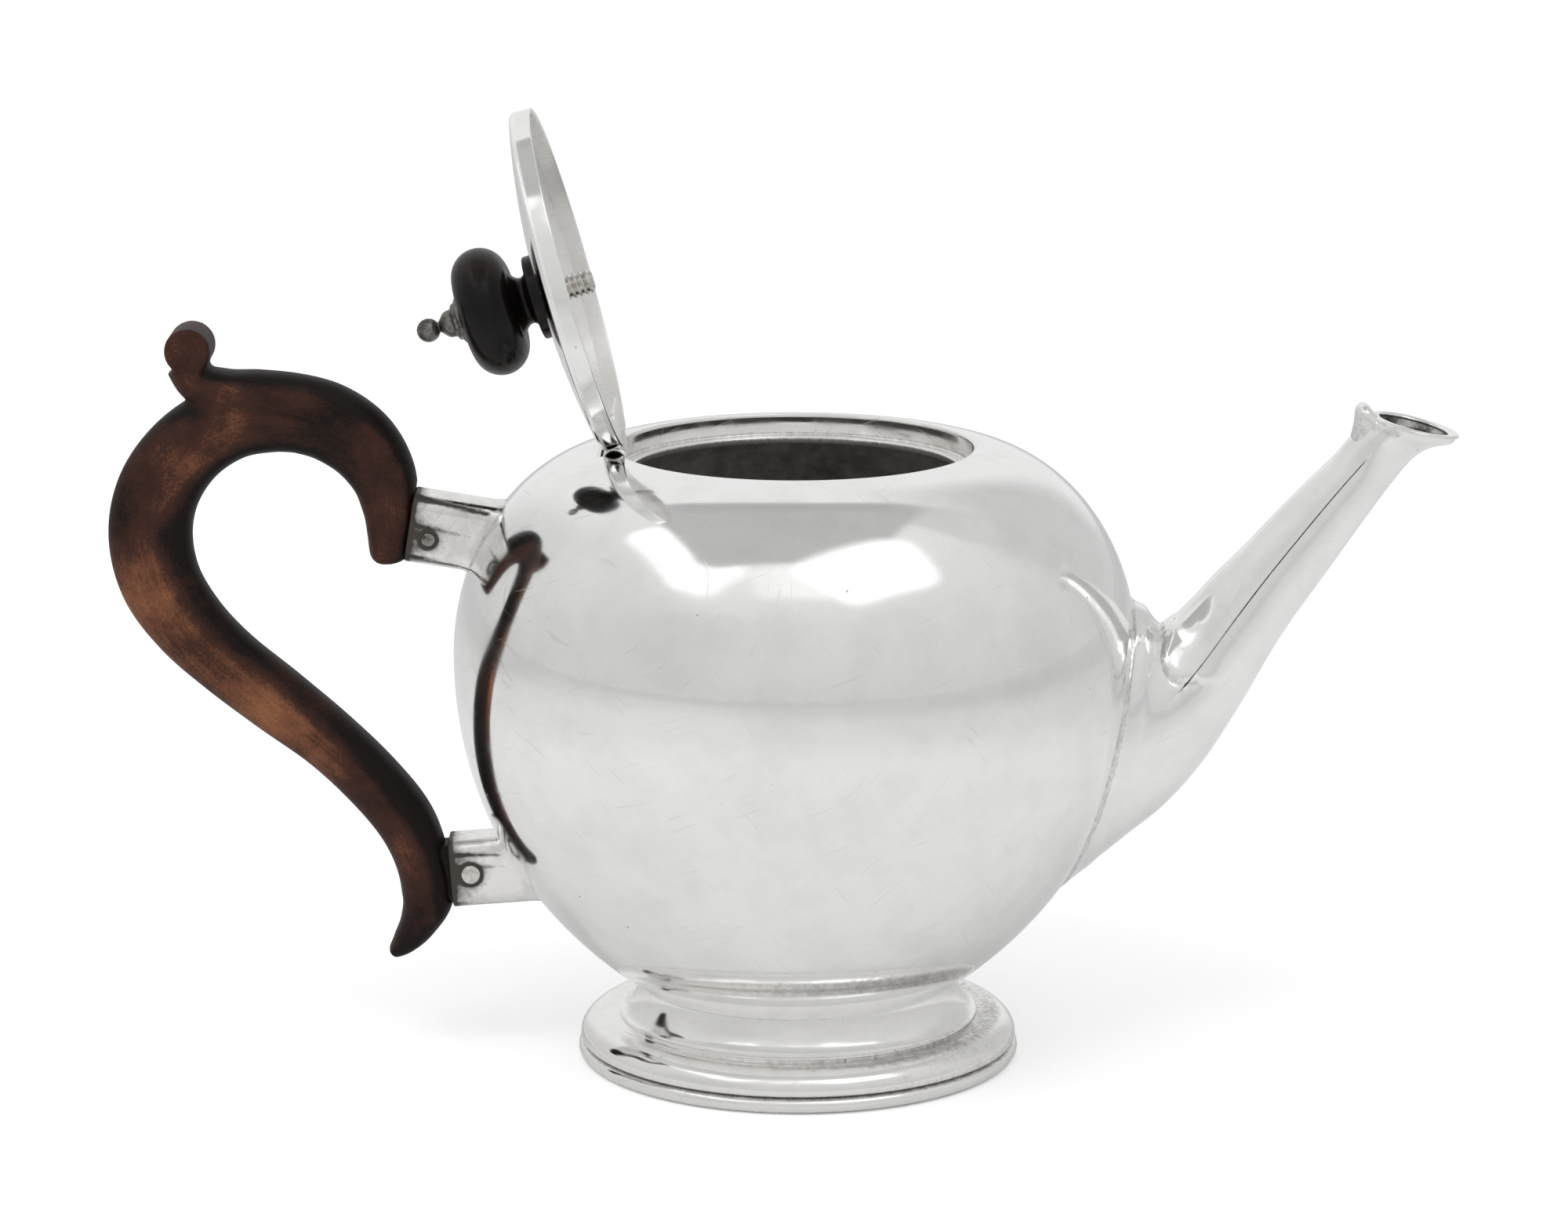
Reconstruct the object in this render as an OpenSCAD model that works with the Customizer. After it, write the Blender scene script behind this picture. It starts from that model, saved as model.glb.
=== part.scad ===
// Bullet-shaped silver teapot, 18th-century pattern: globular body on a moulded foot, straight
// tapering spout, double-scroll wooden handle held by pins in two sockets, and a flush hinged lid
// with a turned wooden knob. The lid is drawn standing open on its hinge.

/* [Body] */
// Widest diameter of the body
belly_d = 116; // [110:0.5:122]
// Height of the widest part above the table
belly_z = 70.4; // [68:0.1:73]
// Height of the rim above the table
rim_z = 105.9; // [104:0.1:109]
// Diameter of the round mouth
mouth_d = 59.4; // [56:0.1:62]
// Diameter where the body meets its foot
neck_d = 54.4; // [50:0.1:58]
// Height of the joint between body and foot
neck_z = 13.2; // [12:0.1:15]
// Slope of the body's wall at that joint, in degrees
neck_slope = 34.8; // [32:0.1:38]
// Height of the underside of the bowl at its centre
bottom_z = 8.5; // [7:0.1:10]
// Thickness of the raised silver sheet
body_t = 1; // [0.8:0.1:1.4]

/* [Mouth] */
// Thickness of the ring lining the mouth
bezel_t = 0.8; // [0.6:0.1:1]
// Depth from the rim down to the ledge that carries the lid
ledge_depth = 3.6; // [3.2:0.1:4.2]
// Width of that ledge
ledge_w = 2; // [1.5:0.1:3]
// Thickness of that ledge
ledge_t = 1.3; // [1:0.1:1.6]

/* [Foot] */
// How far the foot stands from the body's axis, towards the spout
foot_shift = 0.5; // [0:0.1:1]
// Diameter over the bead around the foot
foot_d = 75.6; // [75.4:0.1:77]
// Radius of the bead, a half-round wire
bead_r = 1.3; // [1:0.1:1.6]
// How far the round moulding above the bead stands in from it
round_in = 0.4; // [0.2:0.1:0.6]
// Height of the widest line of that moulding
round_z = 3.6; // [3.4:0.1:3.8]
// Height of its curve
round_h = 3.6; // [3.2:0.1:3.8]
// Height of the step between the moulding and the hollow above it
step_z = 7.6; // [7.4:0.1:8]
// Diameter of that step
step_d = 61.4; // [59:0.1:63]
// Fall of the step
step_h = 0.6; // [0.4:0.1:0.8]
// Thickness of the foot's wall
foot_t = 1.2; // [1:0.1:1.6]

/* [Spout] */
// Thickness of the spout's wall
spout_t = 0.9; // [0.7:0.1:1.2]
// Angle from the top of the spout round to the seam between its two shells
seam_angle = 72; // [60:1:84]
// Diameter of each strainer hole
strainer_d = 3; // [2:0.1:3.4]
// Distance between strainer holes
strainer_pitch = 5; // [4.6:0.1:6]

/* [Handle] */
// Thickness of the wooden handle across the pot
handle_t = 10.8; // [10.4:0.1:13]
// Diameter of the thumb roll
thumb_d = 7.8; // [6.5:0.1:9]
// Height of each socket's mouth
socket_h = 11.9; // [10.5:0.1:12.5]
// Width of each socket across the pot
socket_w = 9.6; // [8.8:0.1:10.2]
// Wall of each socket
socket_t = 0.9; // [0.7:0.1:1.2]
// Radius of each socket's long edges
socket_edge_r = 2.4; // [1.8:0.1:3]
// Diameter of the upper handle pin
upper_pin_d = 2.1; // [1.6:0.1:2.6]
// Diameter of the lower handle pin
lower_pin_d = 3; // [2.4:0.1:3.4]
// Gap all round each tenon in its socket
tenon_gap = 0.1; // [0.05:0.05:0.3]

/* [Lid] */
// How far the lid stands open, in degrees
open_angle = 105.6; // [90:0.2:107]
// Gap between the lid and the wall of the mouth
lid_gap = 0.3; // [0.2:0.05:0.5]
// Rise of the lid's dome
dome_rise = 3.2; // [2.8:0.1:4.4]
// Thickness of the lid's sheet
dome_t = 0.9; // [0.7:0.1:1.2]
// Thickness of the band under the lid
band_t = 0.8; // [0.6:0.1:1]
// Length of the hinge
hinge_w = 16; // [14:0.5:18]
// Outer diameter of the hinge tubes
hinge_d = 4.2; // [3.8:0.1:4.6]
// Diameter of the hinge pin
hinge_pin_d = 2.6; // [2.2:0.1:2.8]
// How far the hinge axis lies below the rim
hinge_drop = 1.1; // [0.9:0.1:1.3]
// Length of the lid's own hinge tube
lid_knuckle_w = 8.6; // [7:0.1:9.4]
// Thickness of the lid's hinge leaf
leaf_t = 0.8; // [0.6:0.1:1]

/* [Knob] */
// How far the knob stands from the lid's centre, towards the hinge
knob_shift = 1.3; // [0:0.1:2]
// How far the knob leans towards the hinge, in degrees
knob_lean = 1.5; // [0:0.1:3]
// Diameter of the turned wooden bulb
bulb_d = 21.9; // [18:0.1:24]
// Thickness of the bulb along its axis
bulb_h = 9.4; // [8:0.1:11]
// Diameter of the knob's foot
knob_foot_d = 14.3; // [12:0.1:16]
// Diameter of the knob's waist
waist_d = 7.5; // [6.6:0.1:9]
// Height of foot and waist together
waist_h = 4.4; // [4:0.1:6]
// Diameter of the silver finial's base
finial_d = 7.9; // [6.8:0.1:9]
// Diameter of the ball on top of the finial
ball_d = 4; // [3.4:0.1:4.6]
// Diameter of the screw that holds the knob
screw_d = 3.5; // [3:0.1:3.8]
// How far the screw reaches below the top of the lid
screw_reach = 8.5; // [7:0.1:9.5]

/* [Hidden] */
$fn = 64;

// Room for cuts to run past a face
past = 1;
// Gap of a joint that turns, and of a pin in wood
turn_gap = 0.05;
// Gap between the moving lid and what it passes
pass_gap = 0.3;

belly_r = belly_d / 2;
mouth_r = mouth_d / 2;
neck_r = neck_d / 2;
foot_r = foot_d / 2;
bezel_r = mouth_r + bezel_t;
lid_r = mouth_r - lid_gap;
ledge_z = rim_z - ledge_depth;

// ---- curves ----
function bez(p, t) = pow(1 - t, 3) * p[0] + 3 * pow(1 - t, 2) * t * p[1]
    + 3 * (1 - t) * t * t * p[2] + pow(t, 3) * p[3];
function bez_slope(p, t) = pow(1 - t, 2) * (p[1] - p[0]) + 2 * (1 - t) * t * (p[2] - p[1])
    + t * t * (p[3] - p[2]);
function unit(v) = v / norm(v);
// A point of the curve moved by d towards its left
function bez_left(p, t, d) = let (s = unit(bez_slope(p, t))) bez(p, t) + d * [-s.y, s.x];
function steps(n) = [for (i = [0 : n]) i / n];
// Smooth curve through rows of numbers: row k is met at t = k
function through(rows, t) =
    let (last = len(rows) - 1, k = min(floor(t), last - 1), u = t - k,
        a = rows[max(k - 1, 0)], b = rows[k], c = rows[k + 1], d = rows[min(k + 2, last)])
    0.5 * (2 * b + u * (c - a) + u * u * (2 * a - 5 * b + 4 * c - d)
        + u * u * u * (3 * b - a - 3 * c + d));
// Point at angle a of a rounded oval of half sizes rx and ry; power 2 is an ellipse
function oval(a, rx, ry, power) = [
    rx * sign(cos(a)) * pow(abs(cos(a)), 2 / power),
    ry * sign(sin(a)) * pow(abs(sin(a)), 2 / power)];

// Closed skin over rings of points, each ring taken the same way round
module skin(rings) {
    k = len(rings[0]);
    last = len(rings) - 1;
    polyhedron(points = [for (r = rings) each r], faces = concat(
        [[for (i = [k - 1 : -1 : 0]) i]],
        [for (s = [0 : last - 1]) for (i = [0 : k - 1])
            let (o = s * k + i, n = s * k + (i + 1) % k) each [[o, n, n + k], [o, n + k, o + k]]],
        [[for (i = [0 : k - 1]) last * k + i]]));
}

// ---- body profile, radius and height ----
bottom_curve = [[0, bottom_z], [neck_r * 0.4, bottom_z],
    [neck_r * 0.78, neck_z - neck_r * 0.22 * tan(neck_slope)], [neck_r, neck_z]];
lower_curve = [[neck_r, neck_z],
    [neck_r + 26 * cos(neck_slope), neck_z + 26 * sin(neck_slope)],
    [belly_r, belly_z - 22.5], [belly_r, belly_z]];
upper_curve = [[belly_r, belly_z], [belly_r, belly_z + 19], [mouth_r + 15.8, rim_z], [mouth_r, rim_z]];

function body_line(d) = concat(
    [for (t = steps(6)) bez_left(bottom_curve, t, d)],
    [for (t = steps(16)) if (t > 0) bez_left(lower_curve, t, d)],
    [for (t = steps(14)) if (t > 0) bez_left(upper_curve, t, d)]);
outer_line = body_line(0);
inner_line = body_line(body_t);
// Radius of the body's outside at height z
function body_r(z) = lookup(z, [for (p = outer_line) [p.y, p.x]]);
// x of the body's outside, on the spout's side, at a given y and z
function body_x(y, z) = sqrt(pow(body_r(z), 2) - y * y);

// The body as a solid, used to trim what is soldered on to it
module body_solid() {
    rotate_extrude() polygon(concat(outer_line, [[0, rim_z]]));
}

// ---- hinge ----
hinge_r = hinge_d / 2;
hinge_x = -mouth_r - 0.6;
hinge_z = rim_z - hinge_drop;
seat_r = hinge_r + 0.8;
gap_w = hinge_w + 2 * pass_gap;

module along_hinge(r, w) {
    translate([hinge_x, 0, hinge_z]) rotate([90, 0, 0]) cylinder(h = w, r = r, center = true);
}

module body_shell() {
    color("silver") difference() {
        rotate_extrude() polygon(concat(outer_line, [for (i = [len(inner_line) - 1 : -1 : 0])
            [max(inner_line[i].x, 0), inner_line[i].y]]));
        translate([0, 0, rim_z - body_t - past]) cylinder(h = body_t + 2 * past, r = bezel_r);
        along_hinge(seat_r, hinge_w);
        strainer_holes();
    }
}

// Rows of holes pierced through the body inside the spout's foot
strainer_z = 56;
strainer_rows = [3, 4, 3, 4, 3];
module strainer_holes() {
    for (row = [0 : len(strainer_rows) - 1]) for (k = [0 : strainer_rows[row] - 1])
        translate([belly_r - 12, (k - (strainer_rows[row] - 1) / 2) * strainer_pitch,
            strainer_z + (row - (len(strainer_rows) - 1) / 2) * strainer_pitch * sin(60)])
            rotate([0, 90, 0]) cylinder(h = 14, d = strainer_d);
}

module mouth_ring() {
    color("gainsboro") difference() {
        rotate_extrude() polygon([[mouth_r, rim_z], [bezel_r, rim_z], [bezel_r, ledge_z - ledge_t],
            [mouth_r - ledge_w, ledge_z - ledge_t], [mouth_r - ledge_w, ledge_z],
            [mouth_r, ledge_z]]);
        along_hinge(seat_r, hinge_w);
    }
}

// ---- foot ----
bead_x = foot_r - bead_r;
round_d = foot_d - 2 * round_in;
round_w = (round_d - step_d) / 2 - 2;
round_x = round_d / 2 - round_w;
// Quarter oval of the round moulding from angle a to angle b, moved in by d
function quarter(a, b, d) = [for (i = steps(6)) let (q = a + (b - a) * i)
    [round_x + (round_w - d) * cos(q), round_z + (round_h - d) * sin(q)]];
hollow_curve = [[neck_r, neck_z], [neck_r + 0.3, neck_z - 2.4], [step_d / 2 - 1.6, step_z + 0.3],
    [step_d / 2, step_z]];

module foot_shell() {
    outer = concat([for (t = steps(8)) bez(hollow_curve, t)], [[step_d / 2, step_z - step_h]],
        quarter(90, 0, 0), [[bead_x + 0.5, round_z - 0.4], [bead_x, 2 * bead_r]]);
    inner = concat([[bead_x - foot_t, 2 * bead_r], [bead_x - foot_t, round_z]],
        quarter(45, 90, foot_t),
        [for (t = [1, 0.75, 0.5]) bez_left(hollow_curve, t, -foot_t)],
        [[neck_r - foot_t, neck_z - 3], [neck_r - foot_t, neck_z + past], [neck_r, neck_z + past]]);
    color("silver") difference() {
        translate([foot_shift, 0, 0]) rotate_extrude() polygon(concat(outer, inner));
        body_solid();
    }
}

module foot_bead() {
    color("gainsboro") translate([foot_shift, 0, 0]) rotate_extrude() polygon(concat(
        [[bead_x - 2, 0], [bead_x, 0]],
        [for (a = [-75 : 15 : 90]) [bead_x + bead_r * cos(a), bead_r + bead_r * sin(a)]],
        [[bead_x - 2, 2 * bead_r]]));
}

// ---- spout: each row is top x, top z, bottom x, bottom z, half width ----
spout_rows = [
    [57, 79.2, 46.3, 29.5, 19.5],
    [59.5, 77.9, 50.3, 33.5, 17],
    [62, 75.5, 56.2, 38.3, 14],
    [64.5, 76.5, 63.1, 43.9, 11.5],
    [67.5, 79.6, 69.6, 51.5, 9.8],
    [71.2, 83.8, 75.6, 61.1, 8.8],
    [76.5, 89.2, 82.5, 73.4, 7.6],
    [82, 95.2, 90.4, 85, 6.7],
    [87.3, 100.7, 97.2, 94.9, 5.9],
    [91, 104.4, 101.6, 101, 5.5],
    [93.4, 107.3, 104.5, 104.3, 5.6],
    [95.4, 109.5, 108.3, 106.5, 6.1],
    [97.1, 111.1, 112.4, 107.9, 6.6]];
// Place and slope of the plane that the spout's lip is filed to
lip_at = [97, 110.8];
lip_slope = -11.8;
spout_cuts = 2 * (len(spout_rows) - 1);
// The rows are drawn for a belly of this radius, and move with its side as it grows
drawn_belly_r = 58;
spout_shift = 0.6 * (belly_r - drawn_belly_r);

// Point of the spout's skin: cut s, angle a from the top, moved in by d
function spout_point(s, a, d) =
    let (r = through(spout_rows, s / 2), top = [r[0], r[1]], low = [r[2], r[3]],
        mid = (top + low) / 2, up = unit(top - low), half = norm(top - low) / 2 - d,
        p = mid + up * half * cos(a), y = (r[4] - d) * sin(a),
        seat = max(0, 1 - s / 2))
    [(p.x + spout_shift) * (1 - seat) + body_x(y, p.y) * seat, y, p.y];

module spout_shell(from, to, parts) {
    angles = [for (i = [0 : parts]) from + (to - from) * i / parts];
    k = parts + 1;
    rings = spout_cuts + 1;
    points = [for (s = [0 : spout_cuts]) each concat(
        [for (a = angles) spout_point(s, a, 0)], [for (a = angles) spout_point(s, a, spout_t)])];
    function quad(a, b, c, d) = [[a, b, c], [a, c, d]];
    intersection() {
        // all that lies below the plane of the lip
        translate([lip_at.x + spout_shift, 0, lip_at.y]) rotate([0, -lip_slope, 0])
            translate([-belly_d, -belly_r, -belly_d]) cube([2 * belly_d, belly_d, belly_d]);
        polyhedron(points = points, faces = concat(
            [for (s = [0 : rings - 2]) for (i = [0 : parts - 1]) let (o = s * 2 * k + i, n = o + 2 * k)
                each concat(quad(o, o + 1, n + 1, n), quad(n + k, n + k + 1, o + k + 1, o + k))],
            [for (s = [0 : rings - 2]) let (o = s * 2 * k, n = o + 2 * k, e = o + 2 * k - 1)
                each concat(quad(o, n, n + k, o + k), quad(e, e + 2 * k, n + k - 1, o + k - 1))],
            [for (i = [0 : parts - 1]) each quad(i, i + k, i + k + 1, i + 1)],
            [for (i = [0 : parts - 1]) let (e = (rings - 1) * 2 * k + i)
                each quad(e, e + 1, e + k + 1, e + k)]));
    }
}

module spout_lower_shell() {
    color("silver") spout_shell(seam_angle, 360 - seam_angle, 18);
}

module spout_upper_shell() {
    color("gainsboro") spout_shell(-seam_angle, seam_angle, 12);
}

// Small turned-over leaf standing on the upper edge of the spout's lip
module spout_tip_scroll() {
    color("silver") difference() {
        translate([lip_at.x + spout_shift - 0.7, 0, lip_at.y - 1.5]) rotate([0, -14, 0]) {
            cylinder(h = 2.6, r1 = 1.3, r2 = 1.6);
            translate([0, 0, 2.6]) sphere(r = 1.6);
        }
        spout_core();
    }
}

// The spout's outside as one solid near its tip, used to trim the scroll
module spout_core() {
    skin([for (s = [spout_cuts - 6 : spout_cuts])
        [for (a = [0 : 12 : 348]) spout_point(s, a, -0.01)]]);
}

// ---- handle ----
upper_mouth = [-65.1, 92.6];
upper_slope = -9.3;
upper_reach = 20;
lower_mouth = [-58.9, 32.1];
lower_slope = 4.2;
lower_reach = 20;
tenon_l = 7;
pin_inset = 3.5;
upper_pin_drop = 1.3;
pin_proud = 0.5;
grain_power = 2.5;
thumb_at = [-101.7, 122.7];

// Rows of the two scrolls: x, z, half width in the plane of the scroll
upper_scroll = [
    [-68.4, 86.2, 2], [-68.5, 87.4, 3.4], [-68.5, 91, 3.9], [-68.5, 95.6, 4.7],
    [-69.7, 101.2, 5.6], [-73.2, 106.4, 6.3], [-78.7, 110.1, 6.6], [-85.4, 112, 6.5],
    [-91.4, 113.9, 5.2], [-96.2, 115.4, 3.7], [-100.4, 116.8, 3.4], [-102.3, 120.2, 3.6]];
lower_scroll = [
    [-82, 110.6, 5], [-88, 111.4, 6.3], [-95.3, 110.1, 6.5], [-102.3, 105.7, 6.7],
    [-107.3, 98.9, 7], [-109.1, 91, 7.1], [-107.6, 82.7, 6.9], [-103, 75.3, 6.4],
    [-96.6, 68.8, 5.9], [-88.2, 62, 5.7], [-79.5, 55, 5.2], [-72.2, 47.8, 5.1],
    [-66.8, 40.9, 5], [-64, 34.1, 4.6], [-63, 27.8, 4.5], [-64.7, 22.8, 3.3],
    [-67.2, 19.3, 2.2], [-69.3, 17.4, 1]];

function scroll_ring(rows, t, sides, half_t) =
    let (p = through(rows, t), a = through(rows, max(t - 0.05, 0)),
        b = through(rows, min(t + 0.05, len(rows) - 1)), s = unit([b.x - a.x, b.y - a.y]),
        thick = half_t * min(1, 0.35 + 0.65 * p[2] / 4))
    [for (i = [0 : sides - 1]) let (q = oval(i * 360 / sides, p[2], thick, grain_power))
        [p.x - s.y * q.x, q.y, p.y + s.x * q.x]];

module scroll(rows, cuts, sides) {
    skin([for (t = steps(cuts)) scroll_ring(rows, t * (len(rows) - 1), sides, handle_t / 2)]);
}

// Places its children at a socket's mouth, with +Z running into the body
module at_socket(mouth, slope) {
    translate([mouth.x, 0, mouth.y]) rotate([0, 90 - slope, 0]) children();
}

// Rounded bar along +Z, h high in the pot's upright plane and w wide across the pot
module rounded_bar(h, w, r, length) {
    linear_extrude(length) {
        square([h - 2 * r, w], center = true);
        square([h, w - 2 * r], center = true);
        for (x = [-1, 1]) for (y = [-1, 1])
            translate([x * (h / 2 - r), y * (w / 2 - r)]) circle(r);
    }
}

module socket(mouth, slope, reach, pin_d, pin_drop) {
    difference() {
        at_socket(mouth, slope) difference() {
            rounded_bar(socket_h, socket_w, socket_edge_r, reach);
            translate([0, 0, -past]) rounded_bar(socket_h - 2 * socket_t, socket_w - 2 * socket_t,
                socket_edge_r - socket_t, reach + 2 * past);
            pin_hole(pin_d, pin_drop);
        }
        body_solid();
    }
}

// Hole across a socket, seen from inside at_socket
module pin_hole(d, drop) {
    translate([drop, 0, pin_inset]) rotate([90, 0, 0])
        cylinder(h = socket_w + 2 * past, d = d, center = true);
}

module tenon(mouth, slope, pin_d, pin_drop) {
    at_socket(mouth, slope) difference() {
        translate([0, 0, -3]) rounded_bar(socket_h - 2 * (socket_t + tenon_gap),
            socket_w - 2 * (socket_t + tenon_gap), socket_edge_r - socket_t, tenon_l + 3);
        pin_hole(pin_d + 2 * turn_gap, pin_drop);
    }
}

module upper_socket() {
    color("gainsboro") socket(upper_mouth, upper_slope, upper_reach, upper_pin_d, upper_pin_drop);
}

module lower_socket() {
    color("gainsboro") socket(lower_mouth, lower_slope, lower_reach, lower_pin_d, 0);
}

module handle_pin(mouth, slope, d, drop) {
    at_socket(mouth, slope) translate([drop, 0, pin_inset]) rotate([90, 0, 0])
        cylinder(h = socket_w + 2 * pin_proud, d = d, center = true);
}

module upper_handle_pin() {
    color("dimgray") handle_pin(upper_mouth, upper_slope, upper_pin_d, upper_pin_drop);
}

module lower_handle_pin() {
    color("dimgray") handle_pin(lower_mouth, lower_slope, lower_pin_d, 0);
}

module handle() {
    color("saddlebrown") {
        difference() {
            union() {
                scroll(upper_scroll, 26, 14);
                scroll(lower_scroll, 40, 14);
                translate([thumb_at.x, 0, thumb_at.y]) rotate([90, 0, 0])
                    cylinder(h = handle_t, d = thumb_d, center = true);
            }
            at_socket(upper_mouth, upper_slope) rounded_bar(socket_h + 4, 20, 1, 12);
            at_socket(lower_mouth, lower_slope) rounded_bar(socket_h + 2, 20, 1, 12);
        }
        tenon(upper_mouth, upper_slope, upper_pin_d, upper_pin_drop);
        tenon(lower_mouth, lower_slope, lower_pin_d, 0);
    }
}

// ---- hinge ----
// Trough let into the rim; it carries the pot's hinge tubes and clears the lid's
module hinge_seat() {
    color("gainsboro") difference() {
        along_hinge(seat_r, hinge_w);
        along_hinge(hinge_r, hinge_w + 2 * past);
        along_hinge(hinge_r + pass_gap, lid_knuckle_w + 2 * pass_gap);
        translate([hinge_x - 0.2, -hinge_w, hinge_z - 5]) cube([10, 2 * hinge_w, 10]);
        translate([hinge_x - 5, -hinge_w, hinge_z + 0.4]) cube([10, 2 * hinge_w, 10]);
    }
}

module pot_knuckles() {
    knuckle_w = (hinge_w - lid_knuckle_w) / 2 - pass_gap;
    color("silver") for (side = [-1, 1])
        translate([hinge_x, side * (hinge_w - knuckle_w) / 2, hinge_z]) rotate([90, 0, 0])
            difference() {
                cylinder(h = knuckle_w, r = hinge_r, center = true);
                cylinder(h = knuckle_w + 2 * past, d = hinge_pin_d, center = true);
            }
}

module hinge_pin() {
    color("dimgray") along_hinge(hinge_pin_d / 2, hinge_w - 1.6);
}

// ---- lid, drawn shut and then turned open about the hinge ----
leaf_z = ledge_z + pass_gap;
leaf_half = hinge_w / 2 + 1;
leaf_end = hinge_x + hinge_r + 6;

module opened() {
    translate([hinge_x, 0, hinge_z]) rotate([0, -open_angle, 0])
        translate([-hinge_x, 0, -hinge_z]) children();
}

module lid_leaf() {
    color("gainsboro") opened() {
        difference() {
            union() {
                along_hinge(hinge_r, lid_knuckle_w);
                translate([hinge_x, -lid_knuckle_w / 2, leaf_z])
                    cube([hinge_r + 1, lid_knuckle_w, leaf_t]);
            }
            along_hinge(hinge_pin_d / 2 + turn_gap, lid_knuckle_w + 2 * past);
        }
        intersection() {
            translate([hinge_x + hinge_r + pass_gap, -leaf_half, leaf_z])
                cube([leaf_end - hinge_x - hinge_r, 2 * leaf_half, leaf_t]);
            translate([0, 0, leaf_z - past]) cylinder(h = 4, r = lid_r - band_t);
        }
    }
}

dome_edge_z = rim_z + 0.2;
dome_sphere_r = (lid_r * lid_r + dome_rise * dome_rise) / (2 * dome_rise);
// Height of the dome's outside at radius r, and of its inside when d is its thickness
function dome_z(r, d) = dome_edge_z + dome_rise - dome_sphere_r
    + sqrt(pow(dome_sphere_r - d, 2) - r * r);
apex_z = dome_z(0, 0);
// The dome's middle as a solid, used to seat the knob
module dome_plug() {
    rotate_extrude() polygon(concat([[0, apex_z - 4]],
        [for (t = steps(8)) let (r = bulb_d / 2 * (1 - t)) [r, dome_z(r, 0)]]));
}

// Cut that leaves room for the hinge in the lid's edge
module lid_notch() {
    translate([-mouth_r - 5, -gap_w / 2, ledge_z - past])
        cube([hinge_x + hinge_r + pass_gap + mouth_r + 5, gap_w, 10]);
}

module lid_dome() {
    radii = [for (t = steps(12)) lid_r * t];
    color("silver") opened() difference() {
        rotate_extrude() polygon(concat([for (r = radii) [r, dome_z(r, 0)]],
            [for (i = [12 : -1 : 0]) [radii[i], dome_z(radii[i], dome_t)]]));
        lid_notch();
        on_knob_axis() translate([0, 0, apex_z - 5]) cylinder(h = 10, d = screw_d + 0.2);
    }
}

// Puts its children, made about the Z axis, where the knob stands on the shut lid
module on_knob_axis() {
    translate([-knob_shift, 0, apex_z]) rotate([0, -knob_lean, 0]) translate([0, 0, -apex_z])
        children();
}

module lid_band() {
    top_out = dome_z(lid_r, dome_t);
    top_in = dome_z(lid_r - band_t, dome_t);
    color("gainsboro") opened() difference() {
        rotate_extrude() polygon([[lid_r, leaf_z], [lid_r, top_out], [lid_r - band_t, top_in],
            [lid_r - band_t, leaf_z]]);
        lid_notch();
    }
}

// ---- knob ----
bulb_z = apex_z + waist_h;
finial_z = bulb_z + bulb_h;

module knob() {
    foot_r = knob_foot_d / 2;
    waist_r = waist_d / 2;
    half = bulb_h / 2;
    crown = bulb_d / 2 - half;
    foot_top = apex_z + 1.5;
    // the waist is a hollow curve between the foot and the bulb
    waist = [[waist_r + 1.8, foot_top], [waist_r - 0.4, foot_top + 0.4],
        [waist_r - 0.4, bulb_z - 0.6], [waist_r + 2.6, bulb_z + 0.35]];
    color("black") opened() difference() {
        on_knob_axis() rotate_extrude() polygon(concat(
            [[0, apex_z - past], [foot_r, apex_z - past], [foot_r, foot_top - 0.2],
                [foot_r - 0.3, foot_top]],
            [for (t = steps(6)) bez(waist, t)],
            [for (a = [-80 : 16 : 80]) [crown + half * cos(a), bulb_z + half + half * sin(a)]],
            [[crown, finial_z], [0, finial_z]]));
        dome_plug();
        on_knob_axis() translate([0, 0, apex_z - 2 * past]) cylinder(h = 30, d = screw_d + 0.2);
    }
}

module finial() {
    r = finial_d / 2;
    ball_z = finial_z + 6.2;
    color("gray") opened() on_knob_axis() difference() {
        rotate_extrude() polygon(concat(
            [[0, finial_z], [r, finial_z], [r, finial_z + 0.6], [r - 0.7, finial_z + 0.9],
                [r - 0.9, finial_z + 1.5], [r - 1.6, finial_z + 1.8], [r - 1.7, finial_z + 2.9],
                [r - 2.3, finial_z + 3.6], [0.9, finial_z + 4.2]],
            [for (a = [-63 : 17 : 73]) [ball_d / 2 * cos(a), ball_z + ball_d / 2 * sin(a)]],
            [[0, ball_z + ball_d / 2]]));
        translate([0, 0, finial_z - past]) cylinder(h = past + 1, d = screw_d);
    }
}

thread_pitch = 0.85;
thread_depth = 0.25;
module knob_screw() {
    r = screw_d / 2;
    foot = apex_z - screw_reach;
    turns = floor((screw_reach - dome_t) / thread_pitch);
    color("lightgray") opened() on_knob_axis() rotate_extrude() polygon(concat(
        [[0, foot], [r - thread_depth, foot]],
        [for (i = [0 : turns - 1]) each [
            [r, foot + (i + 0.4) * thread_pitch], [r - thread_depth, foot + (i + 1) * thread_pitch]]],
        [[r, foot + (turns + 0.4) * thread_pitch], [r, finial_z + 1], [0, finial_z + 1]]));
}

module knob_nut() {
    nut_h = 1.8;
    top = apex_z - dome_t - 0.2;
    color("lightgray") opened() on_knob_axis() difference() {
        translate([0, 0, top - nut_h]) cylinder(h = nut_h, r = 3.6, $fn = 6);
        translate([0, 0, top - nut_h - past]) cylinder(h = nut_h + 2 * past, d = screw_d);
    }
}

body_shell();
mouth_ring();
foot_shell();
foot_bead();
spout_lower_shell();
spout_upper_shell();
spout_tip_scroll();
upper_socket();
lower_socket();
handle();
upper_handle_pin();
lower_handle_pin();
hinge_seat();
pot_knuckles();
hinge_pin();
lid_leaf();
lid_dome();
lid_band();
knob();
finial();
knob_screw();
knob_nut();
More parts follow.
